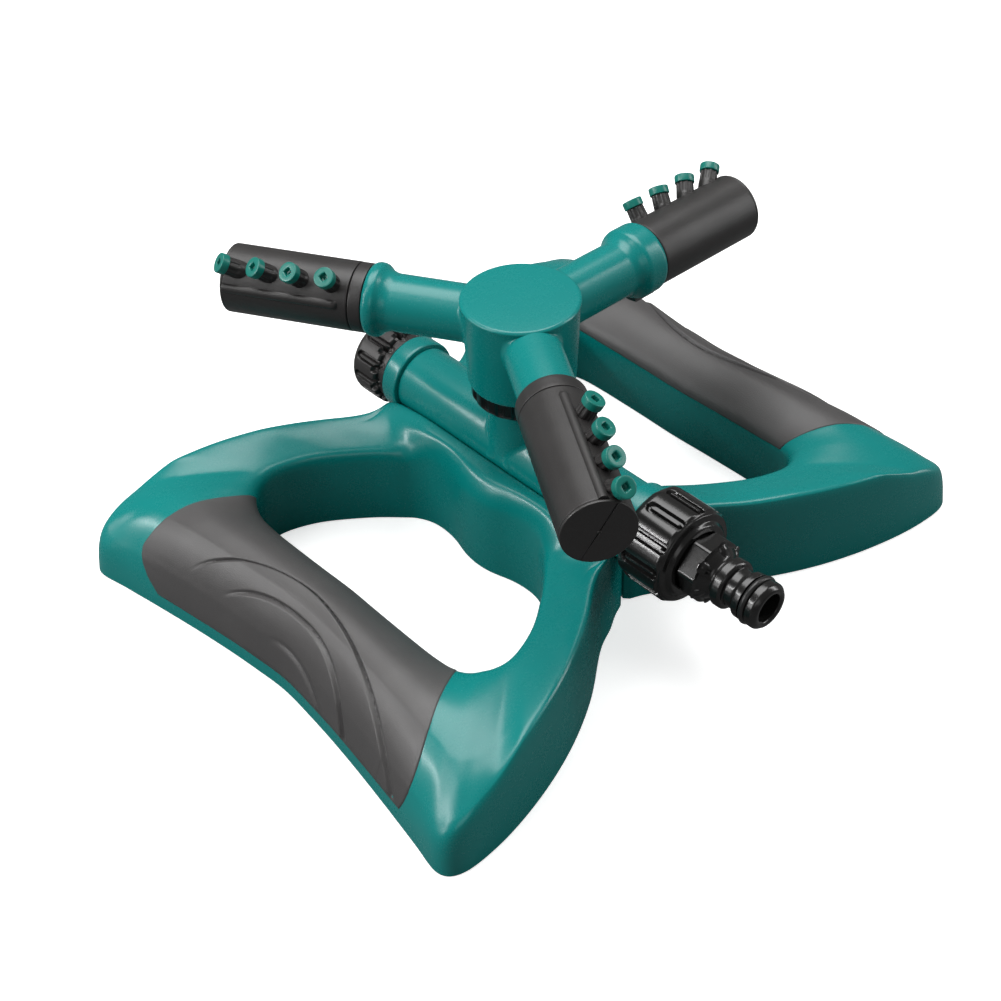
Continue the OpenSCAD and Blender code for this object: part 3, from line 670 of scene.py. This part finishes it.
def step_relief(x, y):
    """Height of the terraces between the curved lines, with a fine groove along each line."""
    h = np.zeros_like(x)
    for crest, up, down, rise, groove in STEPS:
        curve = step_line(crest, up, down)
        run = np.gradient(curve, axis=0)
        run /= np.linalg.norm(run, axis=1, keepdims=True)
        length = np.cumsum(np.r_[0, np.linalg.norm(np.diff(curve, axis=0), axis=1)])
        near = np.argmin((x[..., None] - curve[:, 0]) ** 2 + (y[..., None] - curve[:, 1]) ** 2, axis=-1)
        d = run[near, 0] * (y - curve[near, 1]) - run[near, 1] * (x - curve[near, 0])
        fade = smooth(0.0, 14.0, length[near]) * smooth(0.0, 4.0, length[-1] - length[near] + 3)
        h += fade * rise * smooth(-0.1, 0.5, d) * (1 - 0.75 * smooth(0.0, 10.0, d))
        h -= fade * groove * np.exp(-((d + 0.15) / 0.33) ** 2)
    return h


def build_grip(side, name):
    """A pad over the outer bar that follows the base's skin, with a rounded border and an underside."""
    first = ALL_SECTIONS.index(-GRIP_REACH)
    count = int(GRIP_REACH * 8) + 1
    rows = np.array([CONTROLS[(first + k) % len(ALL_SECTIONS)] for k in range(count)])
    across, place = b_spline(rows.transpose(1, 0, 2), 14)
    station = np.interp(place, np.arange(len(KNOT)), KNOT)
    use = np.flatnonzero((station >= GRIP_INNER) & (station <= GRIP_OUTER) & (place < N_SKIN))
    station = station[use]
    fine_grid, _ = b_spline(across[use].transpose(1, 0, 2), 10)
    ends = np.stack([grip_end(station, GRIP_LOW), grip_end(station, GRIP_TOP)])
    t = ends[0] + (ends[1] - ends[0]) * np.linspace(0, 1, 380)[:, None]
    at = (t + GRIP_REACH) * 40
    low = at.astype(int)
    part = (at - low)[..., None]
    column = np.arange(len(use))[None, :]
    grid = fine_grid[low, column] * (1 - part) + fine_grid[low + 1, column] * part
    normal = outward(grid)
    step = np.linalg.norm(np.diff(grid, axis=0, prepend=grid[:1]), axis=2)
    length = np.cumsum(step, axis=0)
    girth = np.cumsum(np.linalg.norm(np.diff(grid, axis=1, prepend=grid[:, :1]), axis=2), axis=1)
    to_end = np.minimum(length, length[-1:] - length)
    border = np.minimum(to_end, np.minimum(girth, girth[:, -1:] - girth))
    lift = -GRIP_TUCK + (GRIP_TUCK + GRIP_PROUD) * np.sqrt(np.clip(border / 0.7, 0, 1))
    lift = lift + step_relief(grid[..., 0], grid[..., 1]) * smooth(0.8, 3.0, border)
    top = grid + normal * lift[..., None]
    under = grid - normal * GRIP_UNDER
    rows_n, cols_n = grid.shape[:2]
    count = rows_n * cols_n
    faces = [quads(rows_n, cols_n), quads(rows_n, cols_n)[:, ::-1] + count]
    index = np.arange(count).reshape(rows_n, cols_n)
    loop = np.concatenate([index[0, :], index[1:, -1], index[-1, -2::-1], index[-2:0:-1, 0]])
    after = np.roll(loop, -1)
    faces.append(np.stack([loop, after, after + count, loop + count], -1))
    pts = np.concatenate([top.reshape(-1, 3), under.reshape(-1, 3)]) * (side, 1, 1)
    pad = (pts, np.concatenate(faces))
    piece(name + "_pad", [pad], GRIP, "base", (name,), 60)


# ---- round parts


def slot_relief(angle, x, r, count, start, x0, x1, width, depth, edge=0.25):
    """Change of radius for long round-ended slots with a raised rib in each."""
    pitch = 2 * math.pi / count
    off = ((angle - start + pitch / 2) % pitch - pitch / 2) * r
    half = (x1 - x0) / 2

    def capsule(grow):
        w = width / 2 + grow
        dx = np.maximum(np.abs(x - (x0 + x1) / 2) - (half + grow - w), 0)
        return np.sqrt(dx * dx + off * off) - w

    slot = smooth(edge, -edge, capsule(0))
    rib = smooth(edge, -edge, capsule(-width * 0.33))
    return -depth * slot + (depth + 0.15) * rib


def build_nut():
    length = NUT_HIGH[1] - NUT_LOW[1]
    r = NUT_R
    slots, start = 11, math.radians(9)
    outer = soften([
        (0, 11.8), (0, r - 1.2), (0.8, r - 0.3), (2, r), (length - 3.4, r, 0.3), (length - 2.6, r - 0.8, .3),
        (length - 1.8, r - 1.1, .3), (length - 1.4, r - 3.2, .3), (length - 0.9, r - 3.6, .3),
        (length, r - 4.2, .5), (length, 10.4, .3), (length - 1.4, 9.6, .3), (length - 3, 9.6)], 0.6, 5)
    outer = fine(outer, 0.35)

    def shape(angle, x, radius):
        near = smooth(r - 1.6, r - 0.6, radius) * smooth(length - 2.9, length - 3.3, x)
        flat = -0.22 * (1 + np.cos((angle - start) * slots)) * near
        slot = slot_relief(angle, x, radius, slots, start, 2.4, length - 2.6, 3.8, 1.5)
        return radius + near * slot + flat

    part = placed(spin(outer, 660, shape), (0, NUT_HIGH[1], TUBE_Z), (0, -1, 0))
    piece("coupling_nut_body", [part], GLOSS, "nut", ("coupling_nut",), 50)


def build_end_cap():
    """Cap with a notched rim behind which its slots open, and a ring in its outer face."""
    length = CAP_HIGH[1] - CAP_LOW[1]
    r = CAP_R
    slots = 12
    skirt, skirt_r = 2.6, 12.7
    outer = soften([
        (0, 11.6), (0, skirt_r, .2), (skirt, skirt_r, .2), (skirt, r - 0.8, .4), (skirt + .5, r, .5),
        (length - 2.2, r, 1.2), (length, r - 2.2, 1.0), (length, r - 4.2, .3), (length - .9, r - 4.8, .3),
        (length - .9, 3.0, .3), (length, 2.4, .3), (length, 0)], 0.4, 5)
    outer = fine(outer, 0.35)

    def shape(angle, x, radius):
        near = smooth(r - 2.4, r - 1.0, radius)
        slot = slot_relief(angle, x, radius, slots, math.pi / 2, skirt - 2.0, length - 3.2, 3.0, 1.5)
        wave = smooth(0.1, 0.7, -np.cos(angle * slots - math.pi / 2))
        notch = -1.9 * wave * smooth(skirt + 2.4, skirt + 1.5, x) * (radius > 13)
        return radius + near * slot + notch

    part = placed(spin(outer, 720, shape), (0, CAP_LOW[1], TUBE_Z), (0, 1, 0))
    piece("end_cap_body", [part], BLACK, "cap", ("end_cap",), 50)


def build_collar():
    height = COLLAR_HIGH[2] - COLLAR_LOW[2]
    r = COLLAR_R
    flutes = 18
    outer = soften([
        (1.0, 12.3), (0, 12.8, .3), (0, r - 2.2, .8), (1.2, r - 0.8, .6), (2.4, r - .1, .6),
        (height - 2.4, r, .5), (height, r - .4, .5), (height, 14.2, .3), (height - 1.5, 14.0)], 0.4, 4)
    outer = fine(outer, 0.4)

    def shape(angle, x, radius):
        wave = smooth(-0.25, 0.75, np.cos(angle * flutes))
        band = smooth(1.0, 2.2, x) * smooth(height - 1.4, height - 2.6, x)
        return radius - 1.0 * wave * band * (radius > 14.8)

    part = placed(spin(outer, 540, shape), (0, 0, COLLAR_LOW[2]), (0, 0, 1), (0, 1, 0))
    piece("swivel_collar_body", [part], GLOSS, "collar", ("swivel_collar",), 50)


def build_nipple():
    """From the nut outwards: flange, hexagon with bumps, neck, shoulder ring, seal groove, bored tip."""
    start = -NIPPLE_HIGH[1]
    reach = -NIPPLE_LOW[1]
    nut_face = -NUT_LOW[1]
    hex_r = 10.9
    hex_0, hex_1 = nut_face + 0.5, nut_face + 7.1
    groove = reach - 5.4
    outline = soften([
        (start, 5.0, .2), (start, 10.5, .3), (start + 2.5, 10.5, .2), (start + 2.5, 9.0, .2),
        (hex_0, 9.0, .1),
        (hex_0 + .1, hex_r, .2), (hex_1, hex_r, .5), (hex_1 + .5, 9.4, .4), (nut_face + 8.4, 8.7, .6),
        (nut_face + 10.2, 6.9, 1.0), (reach - 18.6, 6.6, .8), (reach - 17.4, 8.3, .5),
        (reach - 17.1, 8.5, .3),
        (reach - 14.4, 8.5, .4), (reach - 13.7, 7.7, .3), (reach - 13.6, 6.7, .4), (reach - 10.4, 6.7, .6),
        (reach - 9.2, 7.95, .4), (groove - 1.5, 8.0, .15), (groove - 1.45, 6.3, .2), (groove + 1.45, 6.3, .2),
        (groove + 1.5, 8.0, .15), (reach - 1.5, 8.0, .5), (reach, 6.7, .6), (reach, 5.6, .3),
        (reach - .5, 4.9, .3), (reach - 30, 4.9, .2), (start, 5.0)], 0.3, 4)
    outline = fine(outline, 0.5)

    def shape(angle, x, radius):
        sector = (angle + math.radians(15)) % (math.pi / 3) - math.pi / 6
        flat = hex_r * math.cos(math.pi / 6) / np.cos(sector)
        in_hex = (x >= hex_0 - .02) & (x <= hex_1 + .01) & (radius > 9.2)
        round_off = np.minimum(flat, hex_r - 0.25)
        radius = np.where(in_hex, np.minimum(radius, round_off), radius)
        bump_x = (x - (nut_face + 8.0)) / 1.5
        bump_a = sector * 9 / 1.9
        bump = 1.2 * np.clip(1 - bump_x ** 2 - bump_a ** 2, 0, 1) ** 0.6
        return radius + bump * (radius > 7)

    body = placed(spin(outline, 240, shape), (0, 0, TUBE_Z), (0, -1, 0))
    piece("hose_nipple_body", [body], GLOSS, "inlet", ("hose_nipple",), 45)


def build_tee():
    """Water tube with its raised rings and threads, and the post with its fillet."""
    end = TEE_HIGH[1]
    half = [(0, TUBE_R), (RING_Y - .45, TUBE_R, .2), (RING_Y - .4, TUBE_R - .45, .15),
            (RING_Y, TUBE_R - .45, .1),
            (RING_Y + .02, RING_R - .3, .3), (RING_Y + .8, RING_R, .4), (RING_Y + RING_LEN - .6, RING_R, .5),
            (RING_Y + RING_LEN, RING_R - .6, .3), (RING_Y + RING_LEN, THREAD_ROOT, .2)]
    crest = RING_Y + RING_LEN + 1.4
    while crest + 1.2 < end:
        half += [(crest, THREAD_ROOT, .2), (crest + .35, THREAD_CREST, .15), (crest + .75, THREAD_CREST, .15),
                 (crest + 1.1, THREAD_ROOT, .2)]
        crest += THREAD_PITCH
    half += [(end, THREAD_ROOT, .2), (end, WATER_BORE_R, .3), (RING_Y, WATER_BORE_R), (0, WATER_BORE_R)]
    tube = spin(soften(half, 0.3, 3), 144)
    parts = [placed(tube, (0, 0, TUBE_Z), (0, direction, 0)) for direction in (1, -1)]
    post_top = TEE_HIGH[2]
    flange = COLLAR_HIGH[2] - 7
    post = soften([
        (0, POST_R), (flange - 2.6, POST_R, .1), (flange - 2.6, POST_FLANGE_R, .2),
        (flange, POST_FLANGE_R, .2), (flange, POST_SPIGOT_R, .2),
        (post_top, POST_SPIGOT_R, .4), (post_top, POST_BORE_R, .3),
        (TUBE_Z + 9, POST_BORE_R)], 0.3, 3)
    post[0, 0] = TUBE_Z + 3
    parts.append(placed(spin(post, 128), (0, 0, 0), (0, 0, 1), (0, 1, 0)))
    parts.append(tee_fillet())
    lug_r, lug_low = 4.0, TEE_LOW[2]
    lug = soften([(TUBE_Z - 11.5, lug_r), (lug_low, lug_r, .3),
                  (lug_low, 1.6, .2), (lug_low + 8, 1.6)], .3, 3)
    parts += [placed(spin(lug, 48), (0, y, 0), (0, 0, 1), (0, 1, 0)) for y in LUG_PLACES]
    piece("water_tube", parts, TEAL, "base", ("water_tee",), 40)


def tee_fillet():
    """Concave blend where the post stands on the tube."""
    size, segments, steps = 1.6, 160, 7
    a = np.linspace(0, 2 * math.pi, segments, endpoint=False)
    corner = np.stack([POST_R * np.cos(a), POST_R * np.sin(a)], -1)
    height = np.sqrt(np.clip(TUBE_R ** 2 - corner[:, 0] ** 2, 0, None))
    blend = size * smooth(1.5, 5.0, height)
    out = corner * (1 + blend / POST_R)[:, None]
    on_post = np.column_stack([corner, height + blend])
    middle = np.column_stack([corner, height])
    on_tube = np.column_stack([out, np.sqrt(np.clip((TUBE_R + 0.01) ** 2 - out[:, 0] ** 2, 0, None))])
    pts = np.array([bend(on_post, middle, on_tube, s) for s in np.linspace(0, 1, steps)])
    pts[..., 2] += TUBE_Z
    return pts.reshape(-1, 3), quads(steps, segments, False, True)


# ---- rotor


def build_hub():
    bottom_r = HUB_R - 1.7
    outline = soften([
        (HUB_TOP + .18, 0), (HUB_TOP + .1, HUB_R * .5, 4), (HUB_TOP - .25, HUB_R - .7, .5),
        (HUB_TOP - .9, HUB_R, .45), (HUB_TOP - 1.55, HUB_R, .2), (HUB_TOP - LID_H, HUB_R - .3, .2),
        (HUB_BOTTOM + .9, bottom_r, .6), (HUB_BOTTOM, bottom_r - .9, .4), (HUB_BOTTOM, 14.9, .3),
        (HUB_BOTTOM + 4, 14.7)], 0.4, 5)
    part = placed(spin(outline, 192), (0, 0, 0), (0, 0, 1), (0, 1, 0))
    piece("rotor_hub_body", [part], TEAL, "rotor", ("rotor_hub", "rotor_cap"), 45)


def on_arm(part, key):
    """Moves a part made along local X onto an arm, with its origin on the rotor's axis."""
    joint = JOINTS["spray_angle_" + key]
    axis = np.array(joint["axis"], float)
    pos = np.array(joint["pos_m"], float) / MM
    origin = pos - axis * np.dot(pos - (0, 0, pos[2]), axis) / (1 - axis[2] ** 2)
    origin[:2] = 0
    return placed(part, origin, axis)


def arm_root():
    """Concave blend between the arm and the side of the hub."""
    segments, steps = 144, 7
    taper = 1.4 / 21
    a = np.linspace(0, 2 * math.pi, segments, endpoint=False)
    y, z = ARM_R * np.cos(a), ARM_R * np.sin(a)
    top = HUB_TOP - LID_H - ARM_Z
    wall = HUB_R - 0.3 - (top - z) * taper
    size = 1.5 * (1 - smooth(0.55, 0.86, np.sin(a)))
    x = np.sqrt(wall ** 2 - y ** 2)
    far = 1 + size / ARM_R
    wall_far = HUB_R - 0.3 - (top - z * far) * taper
    on_tube = np.column_stack([x + size, y, z])
    middle = np.column_stack([x, y, z])
    on_hub = np.column_stack([np.sqrt(wall_far ** 2 - (y * far) ** 2) - 0.03, y * far, z * far])
    rows = [bend(on_tube, middle, on_hub, s) for s in np.linspace(0, 1, steps)]
    return np.array(rows).reshape(-1, 3), quads(steps, segments, False, True)


def build_arm(key):
    """Arm tube from inside the hub to the spigot that carries the barrel, with a flange on two of them."""
    inner, ring_start = 13.6, 42.35
    out = FLANGE_OUT[key]
    if out is None:
        outline = [(inner, ARM_R), (ring_start, ARM_R, .2), (ring_start, SPIGOT_R, .1)]
    else:
        top = ARM_R + 2.75
        outline = [
            (inner, ARM_R), (FLANGE_IN - 3.2, ARM_R, 2.0), (FLANGE_IN - 1.0, ARM_R + 0.9, 1.4),
            (FLANGE_IN + 0.6, top - .35, .9), (FLANGE_IN + 1.7, top, .8), (out - 1.1, top, .5),
            (out, top - .6, .4), (out, SPIGOT_R, .1)]
    outline += [(58.6, SPIGOT_R, .3), (58.6, 6.3, .3), (50, 6.2)]
    parts = [spin(soften(outline, 0.3, 6), 128), arm_root()]
    parts = [on_arm(p, key) for p in parts]
    piece("arm_" + key, parts, TEAL, "rotor", ("arm_tube_" + key,), 40)


def build_lock_ring(key, x0, x1):
    r = BARREL_R - 0.05
    outline = soften([(x0, 9.1), (x0, r, .35), (x1, r, .25), (x1, 9.1)], 0.3, 4)
    part = on_arm(spin(fine(outline, 1.5), 128), key)
    piece("arm_ring_" + key, [part], BLACK, "rotor", ("lock_ring_" + key,), 40)


def nozzle_places(key):
    """Where each nozzle leaves the barrel's surface, and its direction, in the arm's frame."""
    lean = math.radians(NOZZLE_LEAN[key])
    out = np.array([0, math.sin(lean), math.cos(lean)])
    for k in range(NOZZLE_COUNT):
        tilt = math.radians(NOZZLE_TILT + k * NOZZLE_FAN)
        base = np.array([NOZZLE_0 + k * NOZZLE_PITCH, 0, 0]) + out * BARREL_R
        yield base, out * math.cos(tilt) + np.array([math.sin(tilt), 0, 0])


def stub(base, direction):
    """Fluted black stub that carries a tip, with a flared foot."""
    r = TIP_R - 0.4
    outline = soften([(-3.0, r + .1), (0.2, r + .1, .5), (STUB_H, r - .05, .15), (STUB_H, 1.2, .1)], .2, 3)
    outline = fine(outline, 0.4)

    def shape(angle, x, radius):
        return radius - 0.28 * smooth(-.5, .5, np.cos(angle * 9)) * (radius > 2.2) * smooth(-.2, .6, x)

    return placed(spin(outline, 108, shape), base, direction, (1, 0, 0))


def tip(base, direction):
    """Screwed-in tip with a rounded rim and a blind orifice that is slightly four-lobed."""
    r = TIP_R
    h0, h1 = STUB_H + .08, STUB_H + .1 + TIP_H
    outline = soften([
        (h0, 1.5, .1), (h0, r, .3), (h1 - .1, r, .45), (h1, r - .55, .2),
        (h1, 1.75, .15), (h1 - .25, 1.45, .1),
        (h1 - 1.5, 1.3, .1), (h1 - 1.6, .6, .1), (h1 - 2.0, .5, .1), (h1 - 2.2, 0)], .2, 4)

    def shape(angle, x, radius):
        star = 0.5 + 0.5 * np.cos(angle * 4)
        cut = smooth(1.9, 1.6, radius) * (radius > .65)
        return radius * (1 - 0.18 * cut * (1 - star ** 3))

    return placed(spin(outline, 96, shape), base, direction, (1, 0, 0))


def barrel_shell(key):
    """Round wall of a barrel with its lengthwise bead."""
    x0, x1 = BARREL_IN[key], REACH - 1.12
    r = BARREL_R
    rib = math.radians(90 - NOZZLE_LEAN[key] - RIB_TURN[key])
    outline = fine(soften([(x0, 9.2), (x0, r, .35), (x1, r, .15), (x1, 9.2)], 0.3, 4), 0.45)

    def shape(angle, x, radius):
        off = ((angle - rib + math.pi) % (2 * math.pi) - math.pi) * r
        before = np.maximum(x0 + 4.6 - x, 0)
        d = np.sqrt(off * off + before * before)
        bead = 0.95 * np.sqrt(np.clip(1 - (d / 1.5) ** 2, 0, 1)) + 0.12 * np.exp(-(d / 2.2) ** 2)
        return radius + bead * smooth(r - 1.0, r - 0.3, radius) * smooth(x0 + 1.2, x0 + 2.4, x)

    return spin(outline, 480, shape)


def latch_tab(key):
    """Tab that reaches back under the flange, closed at both ends."""
    start, end = BARREL_IN[key], BARREL_IN[key] + 2
    r0, r1, x0 = ARM_R + 3.15, BARREL_R + 2.2, 47.8
    sunk = BARREL_R - .8
    mid, half = -90.0, 20.0
    section = soften([
        (x0, r0), (x0, r1, .6), (end - .5, r1, .8), (end + 1.5, BARREL_R - .3, .5), (end - 2, sunk, .3),
        (start, sunk, .2), (start, r0, .2), (x0, r0)], .3, 3)
    rows = [np.column_stack([section[:, 0], section[:, 1] * np.cos(a), section[:, 1] * np.sin(a)])
            for a in np.radians(np.linspace(mid - half, mid + half, 15))]
    grid = np.array(rows)
    n, m = grid.shape[:2]
    faces = [quads(n, m)]
    centres = np.array([grid[0].mean(0), grid[-1].mean(0)])
    for row, centre in ((0, n * m), (n - 1, n * m + 1)):
        i = np.arange(m - 1) + row * m
        hub = np.full(m - 1, centre)
        faces.append(np.stack([i, i + 1, hub, hub], -1))
    return np.vstack([grid.reshape(-1, 3), centres]), np.concatenate(faces)


def build_barrel(key):
    body = "spray_" + key
    parts = [barrel_shell(key)] + [stub(b, d) for b, d in nozzle_places(key)]
    if key == "right":
        parts.append(latch_tab(key))
    parts = [on_arm(p, key) for p in parts]
    piece("barrel_body_" + key, parts, BLACK, body, ("barrel_" + key,), 45)
    tips = [on_arm(tip(b, d), key) for b, d in nozzle_places(key)]
    piece("jet_tips_" + key, tips, TIP_TEAL, body, ("nozzle_tips_" + key,), 45)


def build_end_plug(key):
    """End disc with a fine groove across it and a gate mark in the middle."""
    r = BARREL_R - 0.02
    segments = 240
    face_rings = np.concatenate([[0], np.linspace(0.25, r - .4, 44)])
    rings = np.concatenate([face_rings, [r - .28, r - .12, r, r, r - .1, 9.0]])
    depth = np.concatenate([np.zeros(len(face_rings)), [-.02, -.1, -.35, -.95, -1.1, -1.1]])
    a = np.linspace(0, 2 * math.pi, segments, endpoint=False)
    rr, aa = np.meshgrid(rings, a, indexing="ij")
    y, z = rr * np.cos(aa), rr * np.sin(aa)
    lean = math.radians(NOZZLE_LEAN[key])
    across = y * math.cos(lean) - z * math.sin(lean)
    face = (np.arange(len(rings)) < len(face_rings))[:, None]
    x = REACH + depth[:, None] + 0 * aa
    x = x - 0.45 * np.exp(-(across / 0.2) ** 2) * face
    x = x + 0.3 * smooth(0.75, 0.45, rr) * face
    pts = np.stack([x, y, z], -1).reshape(-1, 3)
    part = on_arm((pts, quads(len(rings), segments, False, True)), key)
    piece("barrel_end_" + key, [part], BLACK, "spray_" + key, ("end_plug_" + key,), 35)


# ---- CAD nodes that stay: seals, washers and screws


def dress(node, material):
    obj = NODES[node]
    obj.data.materials.clear()
    obj.data.materials.append(material)
    obj.data.shade_smooth()
    obj.data.set_sharp_from_angle(angle=math.radians(35))


for name in ("end_cap_seal", "nipple_o_ring", "inlet_washer", "swivel_o_ring",
             "barrel_seal_front", "barrel_seal_right", "barrel_seal_left"):
    dress(name, SEAL)
dress("slip_washer", SLIP)
dress("tee_screws", ZINC)

build_base()
build_grip(-1, "grip_left")
build_grip(1, "grip_right")
build_tee()
build_end_cap()
build_nut()
build_nipple()
build_collar()
build_hub()
for arm_key in ("front", "right", "left"):
    build_arm(arm_key)
    build_barrel(arm_key)
    build_end_plug(arm_key)
build_lock_ring("front", 42.5, 47.9)
build_lock_ring("left", 50.9, 55.2)


# ---- stage: pale floor, soft lights, camera


# base colour that the camera sees, base colour that lights the part, glow that the camera sees
FLOOR_SEEN, FLOOR_BOUNCE, FLOOR_GLOW = (0.8, 0.8, 0.8, 1), (0.16, 0.16, 0.16, 1), (0.62, 0.62, 0.62, 1)


def make_floor():
    """A pale floor that sends little light back onto the part."""
    mesh = bpy.data.meshes.new("floor")
    h = 3.0
    mesh.from_pydata([(-h, -h, 0), (h, -h, 0), (h, h, 0), (-h, h, 0)], [], [(0, 1, 2, 3)])
    floor = bpy.data.objects.new("floor", mesh)
    floor.location.z = -0.0003
    bpy.context.scene.collection.objects.link(floor)
    m = bpy.data.materials.new("pale_floor")
    m.use_nodes = True
    t = m.node_tree
    shader = t.nodes["Principled BSDF"]
    seen = add(t, "ShaderNodeLightPath").outputs["Is Camera Ray"]
    t.links.new(blend_colour(t, seen, FLOOR_BOUNCE, FLOOR_SEEN), shader.inputs["Base Color"])
    t.links.new(blend_colour(t, seen, (0, 0, 0, 1), FLOOR_GLOW), shader.inputs["Emission Color"])
    shader.inputs["Emission Strength"].default_value = 1.0
    shader.inputs["Roughness"].default_value = 0.9
    shader.inputs["Specular IOR Level"].default_value = 0.0
    mesh.materials.append(m)


def soft_light(name, place, target, size, power):
    data = bpy.data.lights.new(name, "AREA")
    data.shape = "RECTANGLE"
    data.size, data.size_y = size
    data.energy = power
    obj = bpy.data.objects.new(name, data)
    obj.location = place
    obj.rotation_euler = (Vector(target) - Vector(place)).to_track_quat("-Z", "Y").to_euler()
    bpy.context.scene.collection.objects.link(obj)


def make_lights():
    centre = (0, 0, 0.05)
    soft_light("overhead", (0.15, 0.3, 1.3), centre, (1.2, 0.9), 20)
    soft_light("left_strip", (-1.0, 0.35, 0.7), (0, 0, 0.08), (0.2, 1.3), 6)
    soft_light("right_strip", (0.85, -0.6, 0.45), (0, 0, 0.08), (0.16, 1.0), 4.5)
    soft_light("streak", (-0.85, 0.68, 0.57), (0, 0.03, 0.05), (0.6, 0.06), 5)
    soft_light("front_fill", (-0.8, -1.0, 0.7), centre, (0.8, 0.5), 1.5)
    world = bpy.data.worlds.new("studio")
    world.use_nodes = True
    back = world.node_tree.nodes["Background"]
    back.inputs["Color"].default_value = (1, 1, 1, 1)
    back.inputs["Strength"].default_value = 0.15
    bpy.context.scene.world = world
    bpy.context.scene.view_settings.view_transform = "Standard"


# camera: degrees, millimetres from the origin and sideways, focal length
HEADING, PITCH, ROLL = -41.49, 41.63, -2.05
DISTANCE, SLIDE_X, SLIDE_Y = 629.96, 8.97, -11.11
LENS = 64.23


def make_camera():
    a, e, r = map(math.radians, (HEADING, PITCH, ROLL))
    back = Vector((math.sin(a) * math.cos(e), -math.cos(a) * math.cos(e), math.sin(e)))
    right = Vector((math.cos(a), math.sin(a), 0))
    up = back.cross(right)
    right, up = right * math.cos(r) + up * math.sin(r), up * math.cos(r) - right * math.sin(r)
    place = (back * DISTANCE - right * SLIDE_X - up * SLIDE_Y) * MM
    data = bpy.data.cameras.new("camera")
    data.sensor_width = 36
    data.lens = LENS
    data.clip_start = 0.01
    cam = bpy.data.objects.new("camera", data)
    cam.matrix_world = Matrix(((right.x, up.x, back.x, place.x), (right.y, up.y, back.y, place.y),
                               (right.z, up.z, back.z, place.z), (0, 0, 0, 1)))
    bpy.context.scene.collection.objects.link(cam)
    bpy.context.scene.camera = cam


make_floor()
make_lights()
make_camera()
